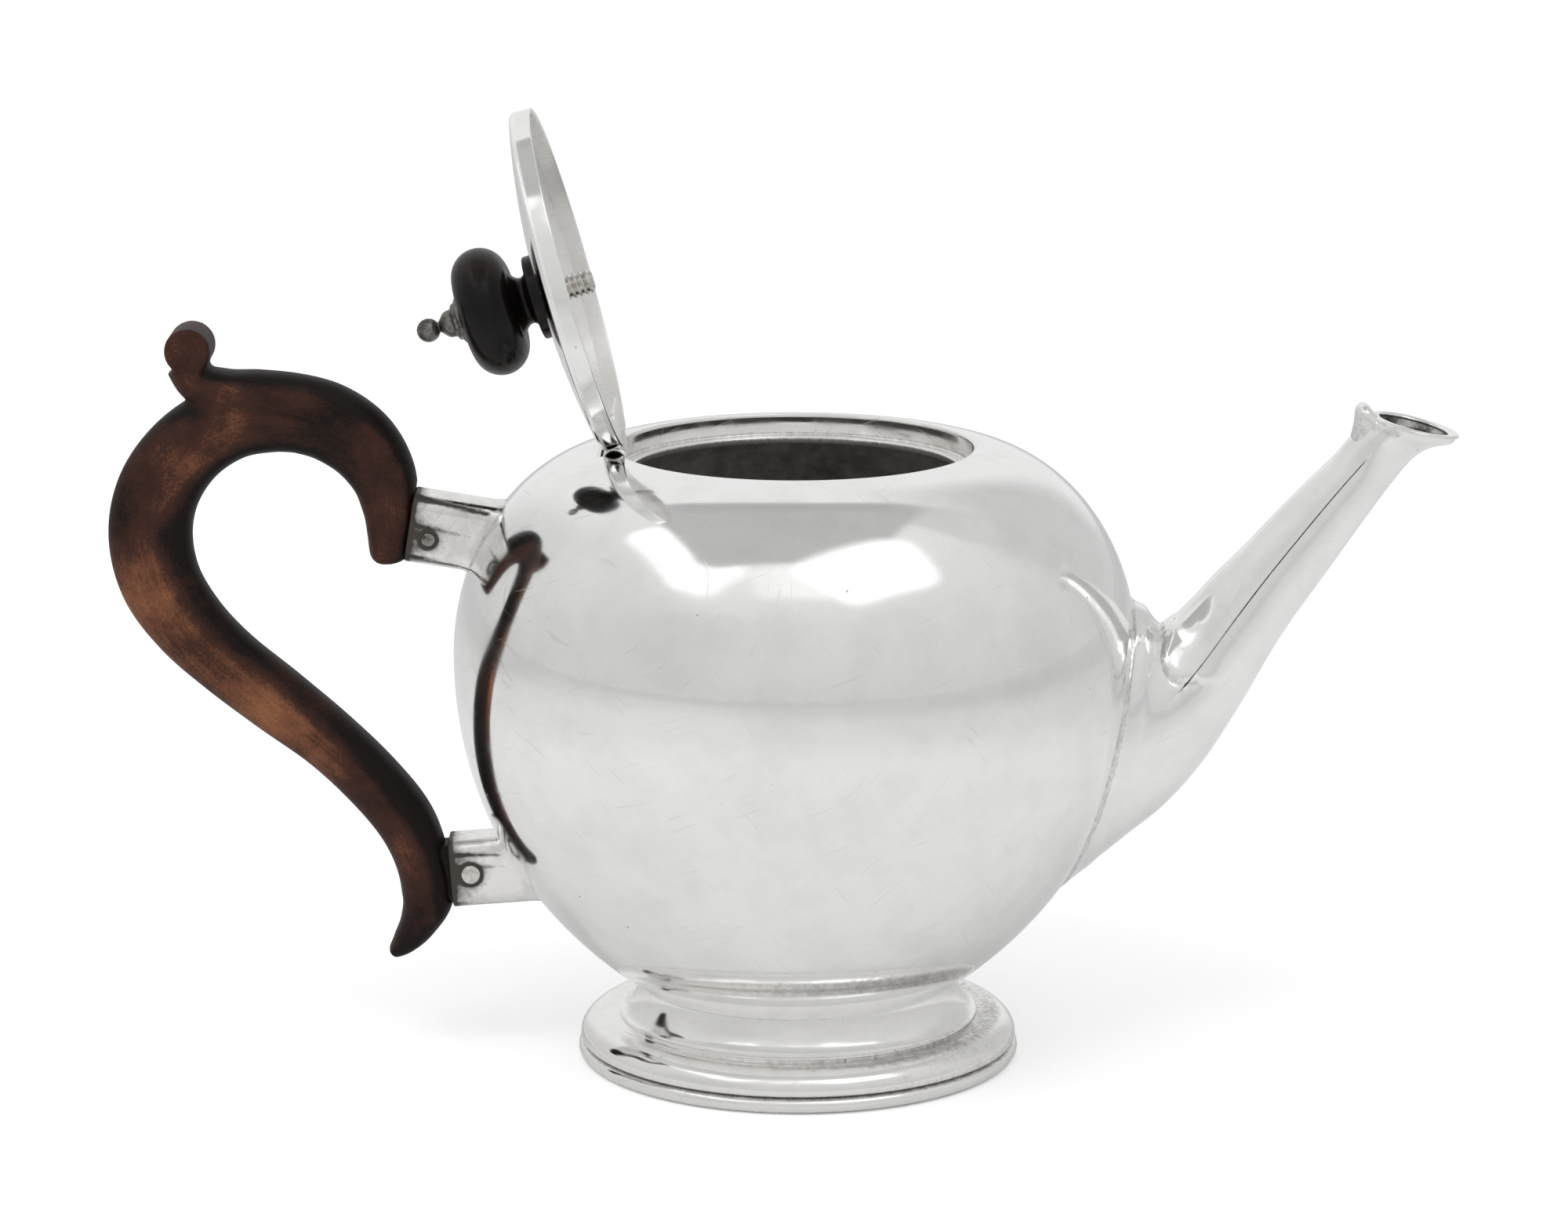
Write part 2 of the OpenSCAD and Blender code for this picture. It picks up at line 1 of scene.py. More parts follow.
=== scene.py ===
import math
import bpy
import bmesh
import numpy as np
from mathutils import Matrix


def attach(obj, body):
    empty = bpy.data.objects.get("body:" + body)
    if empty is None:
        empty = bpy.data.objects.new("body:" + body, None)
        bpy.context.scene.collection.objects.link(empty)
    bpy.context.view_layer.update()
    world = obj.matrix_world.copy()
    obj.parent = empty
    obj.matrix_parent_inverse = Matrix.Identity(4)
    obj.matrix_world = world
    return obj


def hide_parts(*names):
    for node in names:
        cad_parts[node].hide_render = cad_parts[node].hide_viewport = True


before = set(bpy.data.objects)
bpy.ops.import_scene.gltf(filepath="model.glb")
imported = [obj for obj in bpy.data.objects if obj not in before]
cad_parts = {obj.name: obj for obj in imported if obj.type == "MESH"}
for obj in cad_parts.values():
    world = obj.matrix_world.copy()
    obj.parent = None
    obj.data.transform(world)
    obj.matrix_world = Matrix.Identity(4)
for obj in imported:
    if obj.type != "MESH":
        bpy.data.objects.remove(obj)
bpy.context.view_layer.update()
print("model loaded:", len(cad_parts), "nodes")

mm = 0.001


def cubic(points, count=24):
    # cubic curve: (1-t)^3 A + 3(1-t)^2 t B + 3(1-t) t^2 C + t^3 D
    t = np.linspace(0, 1, count)[:, None]
    a, b, c, d = np.array(points, float)
    return (1 - t) ** 3 * a + 3 * (1 - t) ** 2 * t * b + 3 * (1 - t) * t ** 2 * c + t ** 3 * d


def arc(start, end, count, radius, centre=(0, 0), tall=None):
    # points round a circle or an oval, between two angles in degrees
    a = np.radians(np.linspace(start, end, count))
    tall = radius if tall is None else tall
    return np.stack([centre[0] + radius * np.cos(a), centre[1] + tall * np.sin(a)], 1)


def throughRows(rows, t):
    # smooth curve that meets row k at t = k, where its slope is half the step between that
    # row's neighbours
    rows = np.array(rows, float)
    last = len(rows) - 1
    t = np.asarray(t, float)
    k = np.clip(np.floor(t).astype(int), 0, last - 1)
    u = (t - k)[..., None]
    a, b = rows[np.maximum(k - 1, 0)], rows[k]
    c, d = rows[k + 1], rows[np.minimum(k + 2, last)]
    return 0.5 * (2 * b + u * (c - a) + u ** 2 * (2 * a - 5 * b + 4 * c - d)
                  + u ** 3 * (3 * b - a - 3 * c + d))


def evenly(rows, count):
    return throughRows(rows, np.linspace(0, len(rows) - 1, count))


def leftOf(line):
    # at each point of a line, the direction square to it on its left
    slope = np.gradient(line, axis=0)
    slope /= np.linalg.norm(slope, axis=1)[:, None]
    return np.stack([-slope[:, 1], slope[:, 0]], 1)


def nearest(flat, line):
    # for each point of a side view, the number of the line's nearest point
    return np.concatenate([np.hypot(*(part[:, None] - line).transpose(2, 0, 1)).argmin(1)
                           for part in np.array_split(flat, 40)])


def softened(corners, reach, closed=True, count=5):
    # each corner of a polygon becomes a small curve that starts and ends reach away from it
    corners = np.array(corners, float)
    reach = np.broadcast_to(reach, len(corners))[:, None]
    sides = []
    for step in (1, -1):
        side = np.roll(corners, step, 0) - corners
        length = np.linalg.norm(side, axis=1)[:, None] + 1e-9
        sides.append(corners + side / length * np.minimum(reach, 0.45 * length))
    t = np.linspace(0, 1, count)[None, :, None]
    curve = ((1 - t) ** 2 * sides[0][:, None] + 2 * (1 - t) * t * corners[:, None]
             + t ** 2 * sides[1][:, None])
    if not closed:
        curve[0], curve[-1] = corners[0], corners[-1]
    return curve.reshape(-1, 2)


def bell(value, width):
    return np.exp(-(value / width) ** 2)


def rise(value, start, length):
    # 0 up to start, then evenly up to 1
    return np.clip((value - start) / length, 0, 1)


def cosSin(degrees):
    return math.cos(math.radians(degrees)), math.sin(math.radians(degrees))


def ringAngles(sides):
    return np.arange(sides) * 2 * np.pi / sides


def spun(r, z, a):
    # (r, z) goes to (r cos a, r sin a, z)
    return np.stack([r * np.cos(a), r * np.sin(a), z + 0 * a], -1)


def radiusOf(points):
    return np.hypot(points[..., 0], points[..., 1])


def atHeight(ring, height):
    # a flat ring of points as points in space
    return np.column_stack([ring, np.broadcast_to(height, len(ring))])


def gridShape(grid, loopRows=False):
    # a shape is an array of points and an array of faces; here the faces lie between
    # neighbouring points of a grid whose rows are closed rings
    rows, columns = grid.shape[:2]
    i = np.arange(rows if loopRows else rows - 1)[:, None] * columns
    j = np.arange(columns)[None, :]
    iNext, jNext = (i + columns) % (rows * columns), (j + 1) % columns
    faces = np.stack([i + j, i + jNext, iNext + jNext, iNext + j], -1)
    return grid.reshape(-1, grid.shape[-1]), faces.reshape(-1, 4)


def turned(profile, sides, closed=True):
    # surface of revolution
    return gridShape(spun(profile[:, :1], profile[:, 1:], ringAngles(sides)), loopRows=closed)


def rod(radius, halfLength, round=0.3, sides=64, hole=0):
    # turned bar or tube about Z with softened ends, from -halfLength to halfLength
    inner = round if hole else 0.01
    return turned(softened([[hole, -halfLength], [radius, -halfLength], [radius, halfLength],
                            [hole, halfLength]], [inner, round, round, inner]), sides)


def carried(rings):
    # rings of points carried along a path, each end drawn in to its middle
    first, final = [ring.mean(1, keepdims=True) * np.ones_like(ring)
                    for ring in (rings[:1], rings[-1:])]
    return gridShape(np.vstack([first, rings, final]))


def closedWall(rings):
    # the two sides of a wall drawn together at each end of its path
    half = rings.shape[1] // 2
    ends = []
    for ring in (rings[0], rings[-1]):
        middle = (ring[:half] + ring[half:][::-1]) / 2
        ends.append(np.vstack([middle, middle[::-1]])[None])
    return gridShape(np.vstack([ends[0], rings, ends[1]]))


def joined(*shapes):
    starts = np.cumsum([0] + [len(points) for points, faces in shapes])
    return (np.vstack([points for points, faces in shapes]),
            np.vstack([faces + start for (points, faces), start in zip(shapes, starts)]))


def triangulated(shape):
    points, faces = shape
    return points, np.vstack([faces[:, [0, 1, 2]], faces[:, [0, 2, 3]]])


def moved(shape, change):
    # change is a function of the points, or a step along x, y and z
    return (change(shape[0]) if callable(change) else shape[0] + change), shape[1]


def acrossPot(shape, x, z):
    # a shape made along Z laid along Y at a given place
    return moved(shape, lambda p: p[:, [0, 2, 1]] + [x, 0, z])


def turnAbout(points, degrees, centreX, centreZ):
    # turn about a line along Y: x' = x cos + z sin, z' = z cos - x sin, from the centre
    c, s = cosSin(degrees)
    x, z = points[:, 0] - centreX, points[:, 2] - centreZ
    return np.stack([centreX + x * c + z * s, points[:, 1], centreZ + z * c - x * s], 1)


def newObject(name, data):
    made = bpy.data.objects.new(name, data)
    bpy.context.scene.collection.objects.link(made)
    return made


def readThrees(items, key, kind=float):
    # the same three numbers of every point or face
    values = np.empty(len(items) * 3, kind)
    items.foreach_get(key, values)
    return values.reshape(-1, 3)


def setValues(mesh, name, values, kind="FLOAT"):
    # a number, or a vector, kept at every point of a mesh
    mesh.attributes.new(name, kind, "POINT").data.foreach_set(
        "value" if kind == "FLOAT" else "vector", values.astype(np.float32).ravel())


def toMesh(name, shape, stain=None):
    points, faces = shape
    mesh = bpy.data.meshes.new(name)
    mesh.from_pydata((points * mm).tolist(), [], faces.tolist())
    if stain is not None:  # how dark the silver is, from tarnish and, on some pieces, painted shade, 0 to 1
        values = stain(points) if callable(stain) else stain
        setValues(mesh, "stain", np.clip(np.broadcast_to(values, len(points)), 0, 1))
    bm = bmesh.new()
    bm.from_mesh(mesh)
    bmesh.ops.remove_doubles(bm, verts=bm.verts, dist=1e-7)
    bmesh.ops.recalc_face_normals(bm, faces=bm.faces)
    bm.to_mesh(mesh)
    bm.free()
    return mesh


def reworked(shape, *changes):
    # the shape after modifiers: each change is a modifier's kind and its settings
    piece = newObject("working", toMesh("working", shape))
    for kind, settings in changes:
        modifier = piece.modifiers.new(kind, kind)
        for key, value in settings.items():
            setattr(modifier, key, value)
    done = piece.evaluated_get(bpy.context.evaluated_depsgraph_get()).to_mesh()
    points = readThrees(done.vertices, "co") / mm
    done.calc_loop_triangles()
    triangles = readThrees(done.loop_triangles, "vertices", int)
    bpy.data.objects.remove(piece)
    return points, triangles


def cutAway(shape, *tools):
    cutters = [newObject("cutter", toMesh("cutter", tool)) for tool in tools]
    result = reworked(shape, *[("BOOLEAN", {"object": cutter, "operation": "DIFFERENCE",
                                            "solver": "EXACT"}) for cutter in cutters])
    for cutter in cutters:
        bpy.data.objects.remove(cutter)
    return result


def addPiece(name, shape, material, replaced, slot="silver", body="pot", stain=None, sharp=40,
             inner=None):
    mesh = toMesh(name, shape, stain)
    mesh.materials.append(material)
    if inner:  # a second finish, and the rule that picks its faces by their middles
        mesh.materials.append(inner[0])
        chosen = inner[1](readThrees(mesh.polygons, "center") / mm)
        mesh.polygons.foreach_set("material_index", chosen.astype(int))
    mesh.shade_smooth()
    mesh.set_sharp_from_angle(angle=math.radians(sharp))
    piece = newObject(name, mesh)
    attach(piece, body)
    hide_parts(*replaced)
    print("piece", name, len(mesh.polygons), "faces")
    return mesh


def linear(text):
    # sRGB hex to linear: c/12.92 below 0.04045, else ((c+0.055)/1.055)^2.4
    c = np.array([int(text[i:i + 2], 16) / 255 for i in (1, 3, 5)])
    c = np.where(c <= 0.04045, c / 12.92, ((c + 0.055) / 1.055) ** 2.4)
    return (*c.tolist(), 1.0)


def feed(tree, node, inputs):
    # each input takes a plain value, a hex colour or another node's output
    for key, value in inputs.items():
        if isinstance(value, bpy.types.NodeSocket):
            tree.links.new(value, node.inputs[key])
        else:
            node.inputs[key].default_value = linear(value) if isinstance(value, str) else value


def addNode(tree, kind, inputs=None, output=0, **settings):
    # gives back one output of the new node, or the node itself where output is None
    made = tree.nodes.new("ShaderNode" + kind)
    for key, value in settings.items():
        setattr(made, key, value)
    feed(tree, made, inputs or {})
    return made if output is None else made.outputs[output]


def maths(tree, operation, *values, clamp=False):
    return addNode(tree, "Math", dict(enumerate(values)), operation=operation, use_clamp=clamp)


def vectors(tree, operation, *values, output=0):
    inputs = dict(enumerate(values))
    return addNode(tree, "VectorMath", inputs, output, operation=operation)


def noise(tree, place, size, detail, roughness=0.5):  # size in mm
    return addNode(tree, "TexNoise", {
        "Vector": place, "Scale": 1000 / size, "Detail": detail, "Roughness": roughness})


def spread(tree, value, low, high, start=0.0, end=1.0, **settings):
    return addNode(tree, "MapRange", {
        "Value": value, "From Min": low, "From Max": high, "To Min": start, "To Max": end},
        **settings)


def ramp(tree, value, stops):
    # stops are places and greys or colours
    made = addNode(tree, "ValToRGB", {"Fac": value}, None)
    elements = made.color_ramp.elements
    while len(elements) < len(stops):
        elements.new(0.5)
    for element, (place, tone) in zip(elements, stops):
        element.position = place
        element.color = linear(tone) if isinstance(tone, str) else (tone, tone, tone, 1)
    return made.outputs[0]


def mixed(tree, share, first, second):
    inputs = {"Factor": share, "A": first, "B": second}
    return addNode(tree, "Mix", inputs, "Result", data_type="RGBA")


def bump(tree, height, depth, strength=1.0, under=None, sunk=False):
    # depth in mm; under is the bump that this one lies on
    inputs = {"Height": height, "Distance": depth * mm, "Strength": strength}
    if under is not None:
        inputs["Normal"] = under
    return addNode(tree, "Bump", inputs, invert=sunk)


def emptyTree(holder):
    holder.use_nodes = True
    holder.node_tree.nodes.clear()
    return holder.node_tree


def newMaterial(name):
    material = bpy.data.materials.new(name)
    tree = emptyTree(material)
    shader = addNode(tree, "BsdfPrincipled", output=None)
    addNode(tree, "OutputMaterial", {"Surface": shader.outputs[0]}, None)
    return material, tree, shader, addNode(tree, "TexCoord", output="Object")


# lengths in mm: mottle, scratch, pit and wave are sizes, waveDepth and scratchDepth depths
silverLook = {
    "colour": "#f9f9f8", "film": "#dfdedc", "stained": "#46423d", "roughness": (0.045, 0.13),
    "mottle": 9.0, "scratch": 0.35, "scratchLength": 10, "pit": 4.0, "wave": 12.0,
    "waveDepth": 0.026, "pitShare": 0.15, "filmShare": 0.2, "metalShare": 1.0,
    "scratchDepth": 0.0012, "pitDepth": 0.05}


def silver(name, **changes):
    # hand-polished silver: bright, a little uneven, with hairline scratches, a few pits, and
    # grey-brown tarnish where a cloth doesn't reach; the same dark also carries painted shade
    look = {**silverLook, **changes}
    material, tree, shader, place = newMaterial(name)
    cloud = noise(tree, place, look["mottle"], 5, 0.6)
    hairs = 0.0
    length = look["scratchLength"] * mm
    for turn in ((0.2, 0.5, 0.9), (0.1, 1.2, -0.3), (0.4, -0.7, 0.3)):
        # noise drawn out two ways makes hairlines, wide enough to show
        size = (look["scratch"] * mm, length, length)
        way = addNode(tree, "Mapping", {"Vector": place, "Rotation": turn, "Scale": size},
                      vector_type="TEXTURE")
        line = ramp(tree, noise(tree, way, 1000, 1), [(0, 0), (0.71, 0), (0.77, 1), (1, 1)])
        hairs = maths(tree, "ADD", hairs, line, clamp=True)
    cells = addNode(tree, "TexVoronoi", {"Vector": place, "Scale": 1000 / look["pit"]}, output=None)
    chosen = addNode(tree, "SeparateColor", {"Color": cells.outputs["Color"]})
    dot = ramp(tree, cells.outputs["Distance"], [(0, 1), (0.035, 0.8), (0.07, 0), (1, 0)])
    pits = maths(tree, "MULTIPLY", dot, maths(tree, "LESS_THAN", chosen, look["pitShare"]))
    # tarnish, and on some pieces painted shade: the piece's own values, broken up by fine specks,
    # and the pits
    stain = addNode(tree, "Attribute", output="Fac", attribute_name="stain")
    specks = maths(tree, "SUBTRACT", noise(tree, place, 1.1, 3, 0.7), 0.9)
    dark = maths(tree, "MULTIPLY_ADD", stain, 1.9, specks, clamp=True)
    dark = maths(tree, "MULTIPLY_ADD", pits, 0.5, dark, clamp=True)
    dull = spread(tree, cloud, 0.42, 0.66, 0.0, look["filmShare"])
    dull = maths(tree, "MULTIPLY_ADD", hairs, 0.35, dull, clamp=True)
    skin = mixed(tree, dull, look["colour"], look["film"])
    rough = spread(tree, cloud, 0.3, 0.7, *look["roughness"])
    rough = maths(tree, "MULTIPLY_ADD", hairs, 0.12, rough)
    swell = bump(tree, noise(tree, place, look["wave"], 2, 0.45), look["waveDepth"])
    fine = bump(tree, hairs, look["scratchDepth"], under=swell, sunk=True)
    feed(tree, shader, {
        "Base Color": mixed(tree, dark, skin, look["stained"]),
        "Roughness": maths(tree, "MULTIPLY_ADD", dark, 0.35, rough, clamp=True),
        # tarnish is sulphide and old tea, so it is less of a metal than what it covers
        "Metallic": spread(tree, dark, 0.0, 1.0, look["metalShare"], 0.45),
        "Normal": bump(tree, pits, look["pitDepth"], under=fine, sunk=True)})
    return material


polishedSilver = silver("polishedSilver", filmShare=0.28)
handRubbedSilver = silver("handRubbedSilver", colour="#f4f3f1", roughness=(0.06, 0.18), mottle=4.0,
                          wave=6.0, waveDepth=0.03, pit=2.6, pitShare=0.45)
dentedSilver = silver("dentedSilver", colour="#efeeec", film="#c9c6c2", roughness=(0.09, 0.24),
                      mottle=3.0, wave=3.2, waveDepth=0.055, pit=1.9, pitShare=0.5, filmShare=0.5,
                      scratchDepth=0.004)
# pickled silver is left white and satin where the buff can't reach, as inside a lid
pickledSilver = silver("pickledSilver", colour="#f8f7f5", film="#e4e2df", roughness=(0.22, 0.38),
                       mottle=5.0, wave=7.0, waveDepth=0.02, pitShare=0.03, filmShare=0.15,
                       metalShare=0.55, scratchDepth=0.0006)

insideLook = {"stops": [(0.55, "#93908c"), (0.92, "#d6d3cf")], "size": 2.2, "detail": 3,
              "roughness": (0.35, 0.7), "depth": 0.04, "metal": 0.25, "clouds": 11.0}
fittingLook = {"size": 1.5, "detail": 4, "depth": 0.03, "metal": 1.0}


def mottled(name, stops, size, detail, roughness, depth, metal, clouds=0.0):
    # dull metal in patches, with wider clouds under them where clouds is a size
    material, tree, shader, place = newMaterial(name)
    spots = both = noise(tree, place, size, detail, 0.65)
    if clouds:
        both = maths(tree, "MULTIPLY_ADD", spots, 0.5, noise(tree, place, clouds, 4, 0.6))
    feed(tree, shader, {"Base Color": ramp(tree, both, stops), "Metallic": metal,
                        "Roughness": spread(tree, spots, 0, 1, *roughness),
                        "Normal": bump(tree, spots, depth, 0.5)})
    return material


# the inside of the pot: dull silver under a patchy brown-grey skin of old tea
teaStainedSilver = mottled("teaStainedSilver", **insideLook)

waxedWood = {"dark": "#140b0a", "middle": "#43271e", "light": "#935f42", "grain": 0.5,
             "roughness": (0.45, 0.65), "streaks": 0.3, "coat": 0.05, "coatRoughness": 0.25,
             "gloss": 0.15}
blackWood = {"dark": "#060404", "middle": "#0d0908", "light": "#2a1a14", "grain": 0.6,
             "roughness": (0.34, 0.5), "streaks": 0.2, "coat": 0.35, "coatRoughness": 0.16,
             "gloss": 0.05}


def wood(name, dark, middle, light, grain, roughness, streaks, coat, coatRoughness, gloss):
    # waxed wood: brown where it is handled, almost black in patches, and darker along one side
    # as partly wear and partly painted shade, with short fine grain along the piece
    material, tree, shader, place = newMaterial(name)
    along = addNode(tree, "Attribute", output="Vector", attribute_name="along")
    # grain: noise in the piece's own lengthwise measure, drawn out nine times
    size = (1000 / grain / 9, 1000 / grain, 1000 / grain)
    stretch = addNode(tree, "Mapping", {"Vector": along, "Scale": size})
    streak = noise(tree, stretch, 1000, 5, 0.65)
    cloud = spread(tree, noise(tree, place, 17, 4, 0.6), 0.32, 0.68)
    # edge holds the handle's painted shade and wear; it darkens the colour below
    edge = addNode(tree, "Attribute", output="Fac", attribute_name="edge")
    shade = maths(tree, "MULTIPLY", streak, streaks)
    for part, share in ((cloud, 0.46), (noise(tree, place, 0.45, 2), 0.26), (edge, -0.5)):
        shade = maths(tree, "MULTIPLY_ADD", part, share, shade)
    feed(tree, shader, {
        "Base Color": ramp(tree, shade, [(0.12, dark), (0.46, middle), (0.82, light), (1, light)]),
        "Roughness": spread(tree, streak, 0.3, 0.7, *roughness),
        "Normal": bump(tree, streak, 0.03, 0.5), "Specular IOR Level": gloss,
        "Coat Weight": coat, "Coat Roughness": coatRoughness})
    return material


carvedFruitwood = wood("carvedFruitwood", **waxedWood)
ebonisedWood = wood("ebonisedWood", **blackWood)


def greyMetal(name, colour, stained, roughness):
    # small turned fittings of steel or unpolished silver, smoother where they are pale
    return mottled(name, [(0.3, stained), (0.62, colour)], roughness=roughness, **fittingLook)


oxidisedSteel = greyMetal("oxidisedSteel", "#b4b0ab", "#4a4642", (0.4, 0.2))
# the hinge pin's near-black is painted shade for the dark hole it sits in
blackenedWire = greyMetal("blackenedWire", "#3a3735", "#121110", (0.6, 0.4))
turnedSteel = greyMetal("turnedSteel", "#e8e6e2", "#b5b1ac", (0.28, 0.12))
castSilver = greyMetal("castSilver", "#8f8c88", "#3a3734", (0.5, 0.28))
print("materials made")

body = {
    "bellyRadius": 58.0, "bellyZ": 70.4, "rimZ": 105.9, "mouthRadius": 29.7, "neckRadius": 27.2,
    "neckZ": 13.2, "neckSlope": 34.8, "bottomZ": 8.5, "wall": 1.0, "bezel": 0.8,
    # reach of the curves' handles: out of the neck, down and up from the belly, out of the rim
    "neckReach": 26, "bellyDown": 22.5, "bellyUp": 19, "rimReach": 15.8}
strainer = {"middleZ": 56.0, "rows": (3, 4, 3, 4, 3), "pitch": 5.0, "hole": 3.0, "inset": 5.0,
            "drill": 7.0}


def bodyOutline():
    # the pot's outside from the middle of its bottom to the edge of the mouth, three cubics
    (c, s), reach = cosSin(body["neckSlope"]), body["neckReach"]
    r, z, low = body["neckRadius"], body["neckZ"], body["bottomZ"]
    wide, middle = body["bellyRadius"], body["bellyZ"]
    bottom = cubic([[0, low], [r * 0.4, low], [r * 0.78, z - r * 0.22 * s / c], [r, z]])
    lower = cubic([[r, z], [r + reach * c, z + reach * s],
                   [wide, middle - body["bellyDown"]], [wide, middle]], 72)
    upper = cubic([[wide, middle], [wide, middle + body["bellyUp"]],
                   [body["mouthRadius"] + body["rimReach"], body["rimZ"]],
                   [body["mouthRadius"], body["rimZ"]]], 72)
    return np.vstack([bottom, lower[1:], upper[1:]])


outline = bodyOutline()


def bodyGap(points):
    # how far a point stands out from the body
    return radiusOf(points) - np.interp(points[..., 2], outline[:, 1], outline[:, 0])


def hollowBody():
    # the outline, its rim at the bezel, and the same line moved in by the wall
    edge = body["mouthRadius"] + body["bezel"]
    outer, inner = [line[(line[:, 0] > edge + 0.1) | (line[:, 1] < body["bellyZ"])]
                    for line in (outline, outline + body["wall"] * leftOf(outline))]
    inner[:, 0] = np.maximum(inner[:, 0], 0)
    inner[0, 0] = 0
    rim = [[edge, body["rimZ"]], [edge, body["rimZ"] - body["wall"]]]
    return turned(np.vstack([outer, rim, inner[::-1]]), 288, closed=False)


def bodyStain(points):
    # the inside is dark with old tea; outside, a thin line of tarnish round the neck and rim
    z = points[:, 2]
    inside = np.where((z > body["rimZ"] - 0.6) & (radiusOf(points) < 32), 0.25,
                      rise(-bodyGap(points), 0.3, 0.4))
    return inside * 0.4 + 0.4 * bell(z - body["neckZ"], 0.4) * (1 - inside)


def isInside(points):
    return (bodyGap(points) < -0.6) & (points[:, 2] > body["bottomZ"] + 0.5)


def strainerHoles():
    tools = []
    x, pitch = body["bellyRadius"] - strainer["inset"], strainer["pitch"]
    drill = rod(strainer["hole"] / 2, strainer["drill"], 0.01, 32)
    for k, count in enumerate(strainer["rows"]):
        z = strainer["middleZ"] + (k - 2) * pitch * math.sin(math.pi / 3)
        for place in range(count):
            step = [x, (place - (count - 1) / 2) * pitch, z]
            tools.append(moved(drill, lambda p: p[:, [2, 1, 0]] + step))
    return joined(*tools)


hinge = {"x": -30.3, "z": 104.8, "radius": 2.1, "width": 16.0, "lidTube": 8.6, "seat": 2.9,
         "pin": 1.3, "hole": 1.6, "pinInset": 2.6, "gap": 0.3}


def onHinge(shape):
    return acrossPot(shape, hinge["x"], hinge["z"])


seatCut = onHinge(rod(hinge["seat"], hinge["width"] / 2, 0.01))
addPiece("pot_body", cutAway(hollowBody(), strainerHoles(), seatCut), polishedSilver,
         ["body_shell"], stain=bodyStain, inner=(teaStainedSilver, isInside))

ledge = {"depth": 3.6, "width": 2.0, "thick": 1.3, "hollow": 0.08, "flare": 0.36}


def mouthRing():
    # angle-section ring: a narrow shelf for the lid, and a bezel that leans out evenly and is
    # hollowed by hollow times sin(pi t)
    r, top, depth, lean = body["mouthRadius"], body["rimZ"], ledge["depth"], ledge["flare"] + 0.03
    outer, inner, shelf = r + body["bezel"], r - ledge["width"], top - depth
    corners = softened(
        [[r + lean, top + 0.02], [outer, top], [outer, shelf - ledge["thick"]],
         [inner, shelf - ledge["thick"]], [inner, shelf], [r, shelf]],
        [0.4, 0.05, 0.1, 0.45, 0.45, 0.3])
    t = np.linspace(0.06, 0.94, 14)
    height = 0.3 + (depth - 0.75) * t
    hollow = np.stack([r + lean * height / depth + ledge["hollow"] * np.sin(np.pi * t),
                       shelf + height], 1)
    return cutAway(turned(np.vstack([corners, hollow])[::-1], 240), seatCut)


def bezelStain(points):
    # dark under the shelf, and a thin line where shelf and bezel meet
    height = points[:, 2] - body["rimZ"] + ledge["depth"]
    corner = bell(height - 0.3, 0.25) * (radiusOf(points) > body["mouthRadius"] - 0.5)
    return 0.5 * (height < -0.2) + 0.4 * corner


addPiece("mouth_bezel", mouthRing(), handRubbedSilver, ["mouth_ring"], stain=bezelStain)

foot = {"shift": 0.5, "neck": 27.2, "neckZ": 13.2, "roundRadius": 37.4, "roundWidth": 4.7,
        "roundZ": 3.6, "roundHeight": 3.6, "stepRadius": 30.7, "stepZ": 7.6, "step": 0.6,
        "wall": 1.2, "beadX": 36.5, "bead": 1.3}


def footShell():
    # profile: hollow under the neck, small step, quarter-oval moulding, groove over the bead
    r, z, low, wall = foot["stepRadius"], foot["stepZ"], foot["stepZ"] - foot["step"], foot["wall"]
    neck, neckZ, x, beadTop = foot["neck"], foot["neckZ"], foot["beadX"], 2 * foot["bead"]
    wide, height, tall = foot["roundRadius"], foot["roundZ"], foot["roundHeight"]
    centre = (wide - foot["roundWidth"], height)
    hollow = cubic([[neck, neckZ + 0.4], [neck + 0.3, neckZ - 2.4], [r - 1.6, z + 0.3], [r, z]], 20)
    step = softened([[r - 0.3, z + 0.01], [r, z], [r, low], [r + 1.2, low],
                     [centre[0], height + tall]], [0, 0.2, 0.25, 0.4, 0.4], closed=False)
    groove = softened([[wide, height], [wide, height - 0.4], [x + 0.6, height - 0.7], [x, beadTop],
                       [x - wall, beadTop], [x - wall, height]],
                      [0.3, 0.3, 0.2, 0.1, 0.2, 0.3], closed=False)
    over, under = [arc(start, end, 16, foot["roundWidth"] - inset, centre, tall - inset)
                   for start, end, inset in ((88, 2, 0), (45, 90, wall))]
    return np.vstack([hollow[:-1], step, over, groove, under,
                           (hollow - wall * leftOf(hollow))[::-1]])


def footStain(points):
    # tarnish in the creases, heavier round one side, with a speckled patch there
    heavy = 0.55 + 0.45 * np.cos(np.arctan2(points[:, 1], points[:, 0]) + 0.6)
    z = points[:, 2]
    return (0.27 * bell(z - 12.9, 0.3) + 0.24 * heavy * bell(z - 7.1, 0.35)
            + 0.34 * bell(z - 2.9, 0.25) + 0.2 * heavy ** 3 * (z > 3) * (z < 8))


def footBead():
    x, r = foot["beadX"], foot["bead"]
    ring = arc(-80, 90, 20, r, (x, r))
    return np.vstack([[[x - 2, 0], [x - 0.2, 0]], ring, [[x - 2, 2 * r]]])


for name, profile, node, stain in (
        ("foot", footShell()[::-1], "foot_shell", footStain),
        ("foot_rim", footBead(), "foot_bead",
         lambda p: 0.45 * bell(p[:, 2] - 2.6, 0.4) + 0.3 * (p[:, 2] < 0.5))):
    addPiece(name, moved(turned(profile, 240), [foot["shift"], 0, 0]), handRubbedSilver, [node],
             stain=stain)
print("body, mouth and foot made")

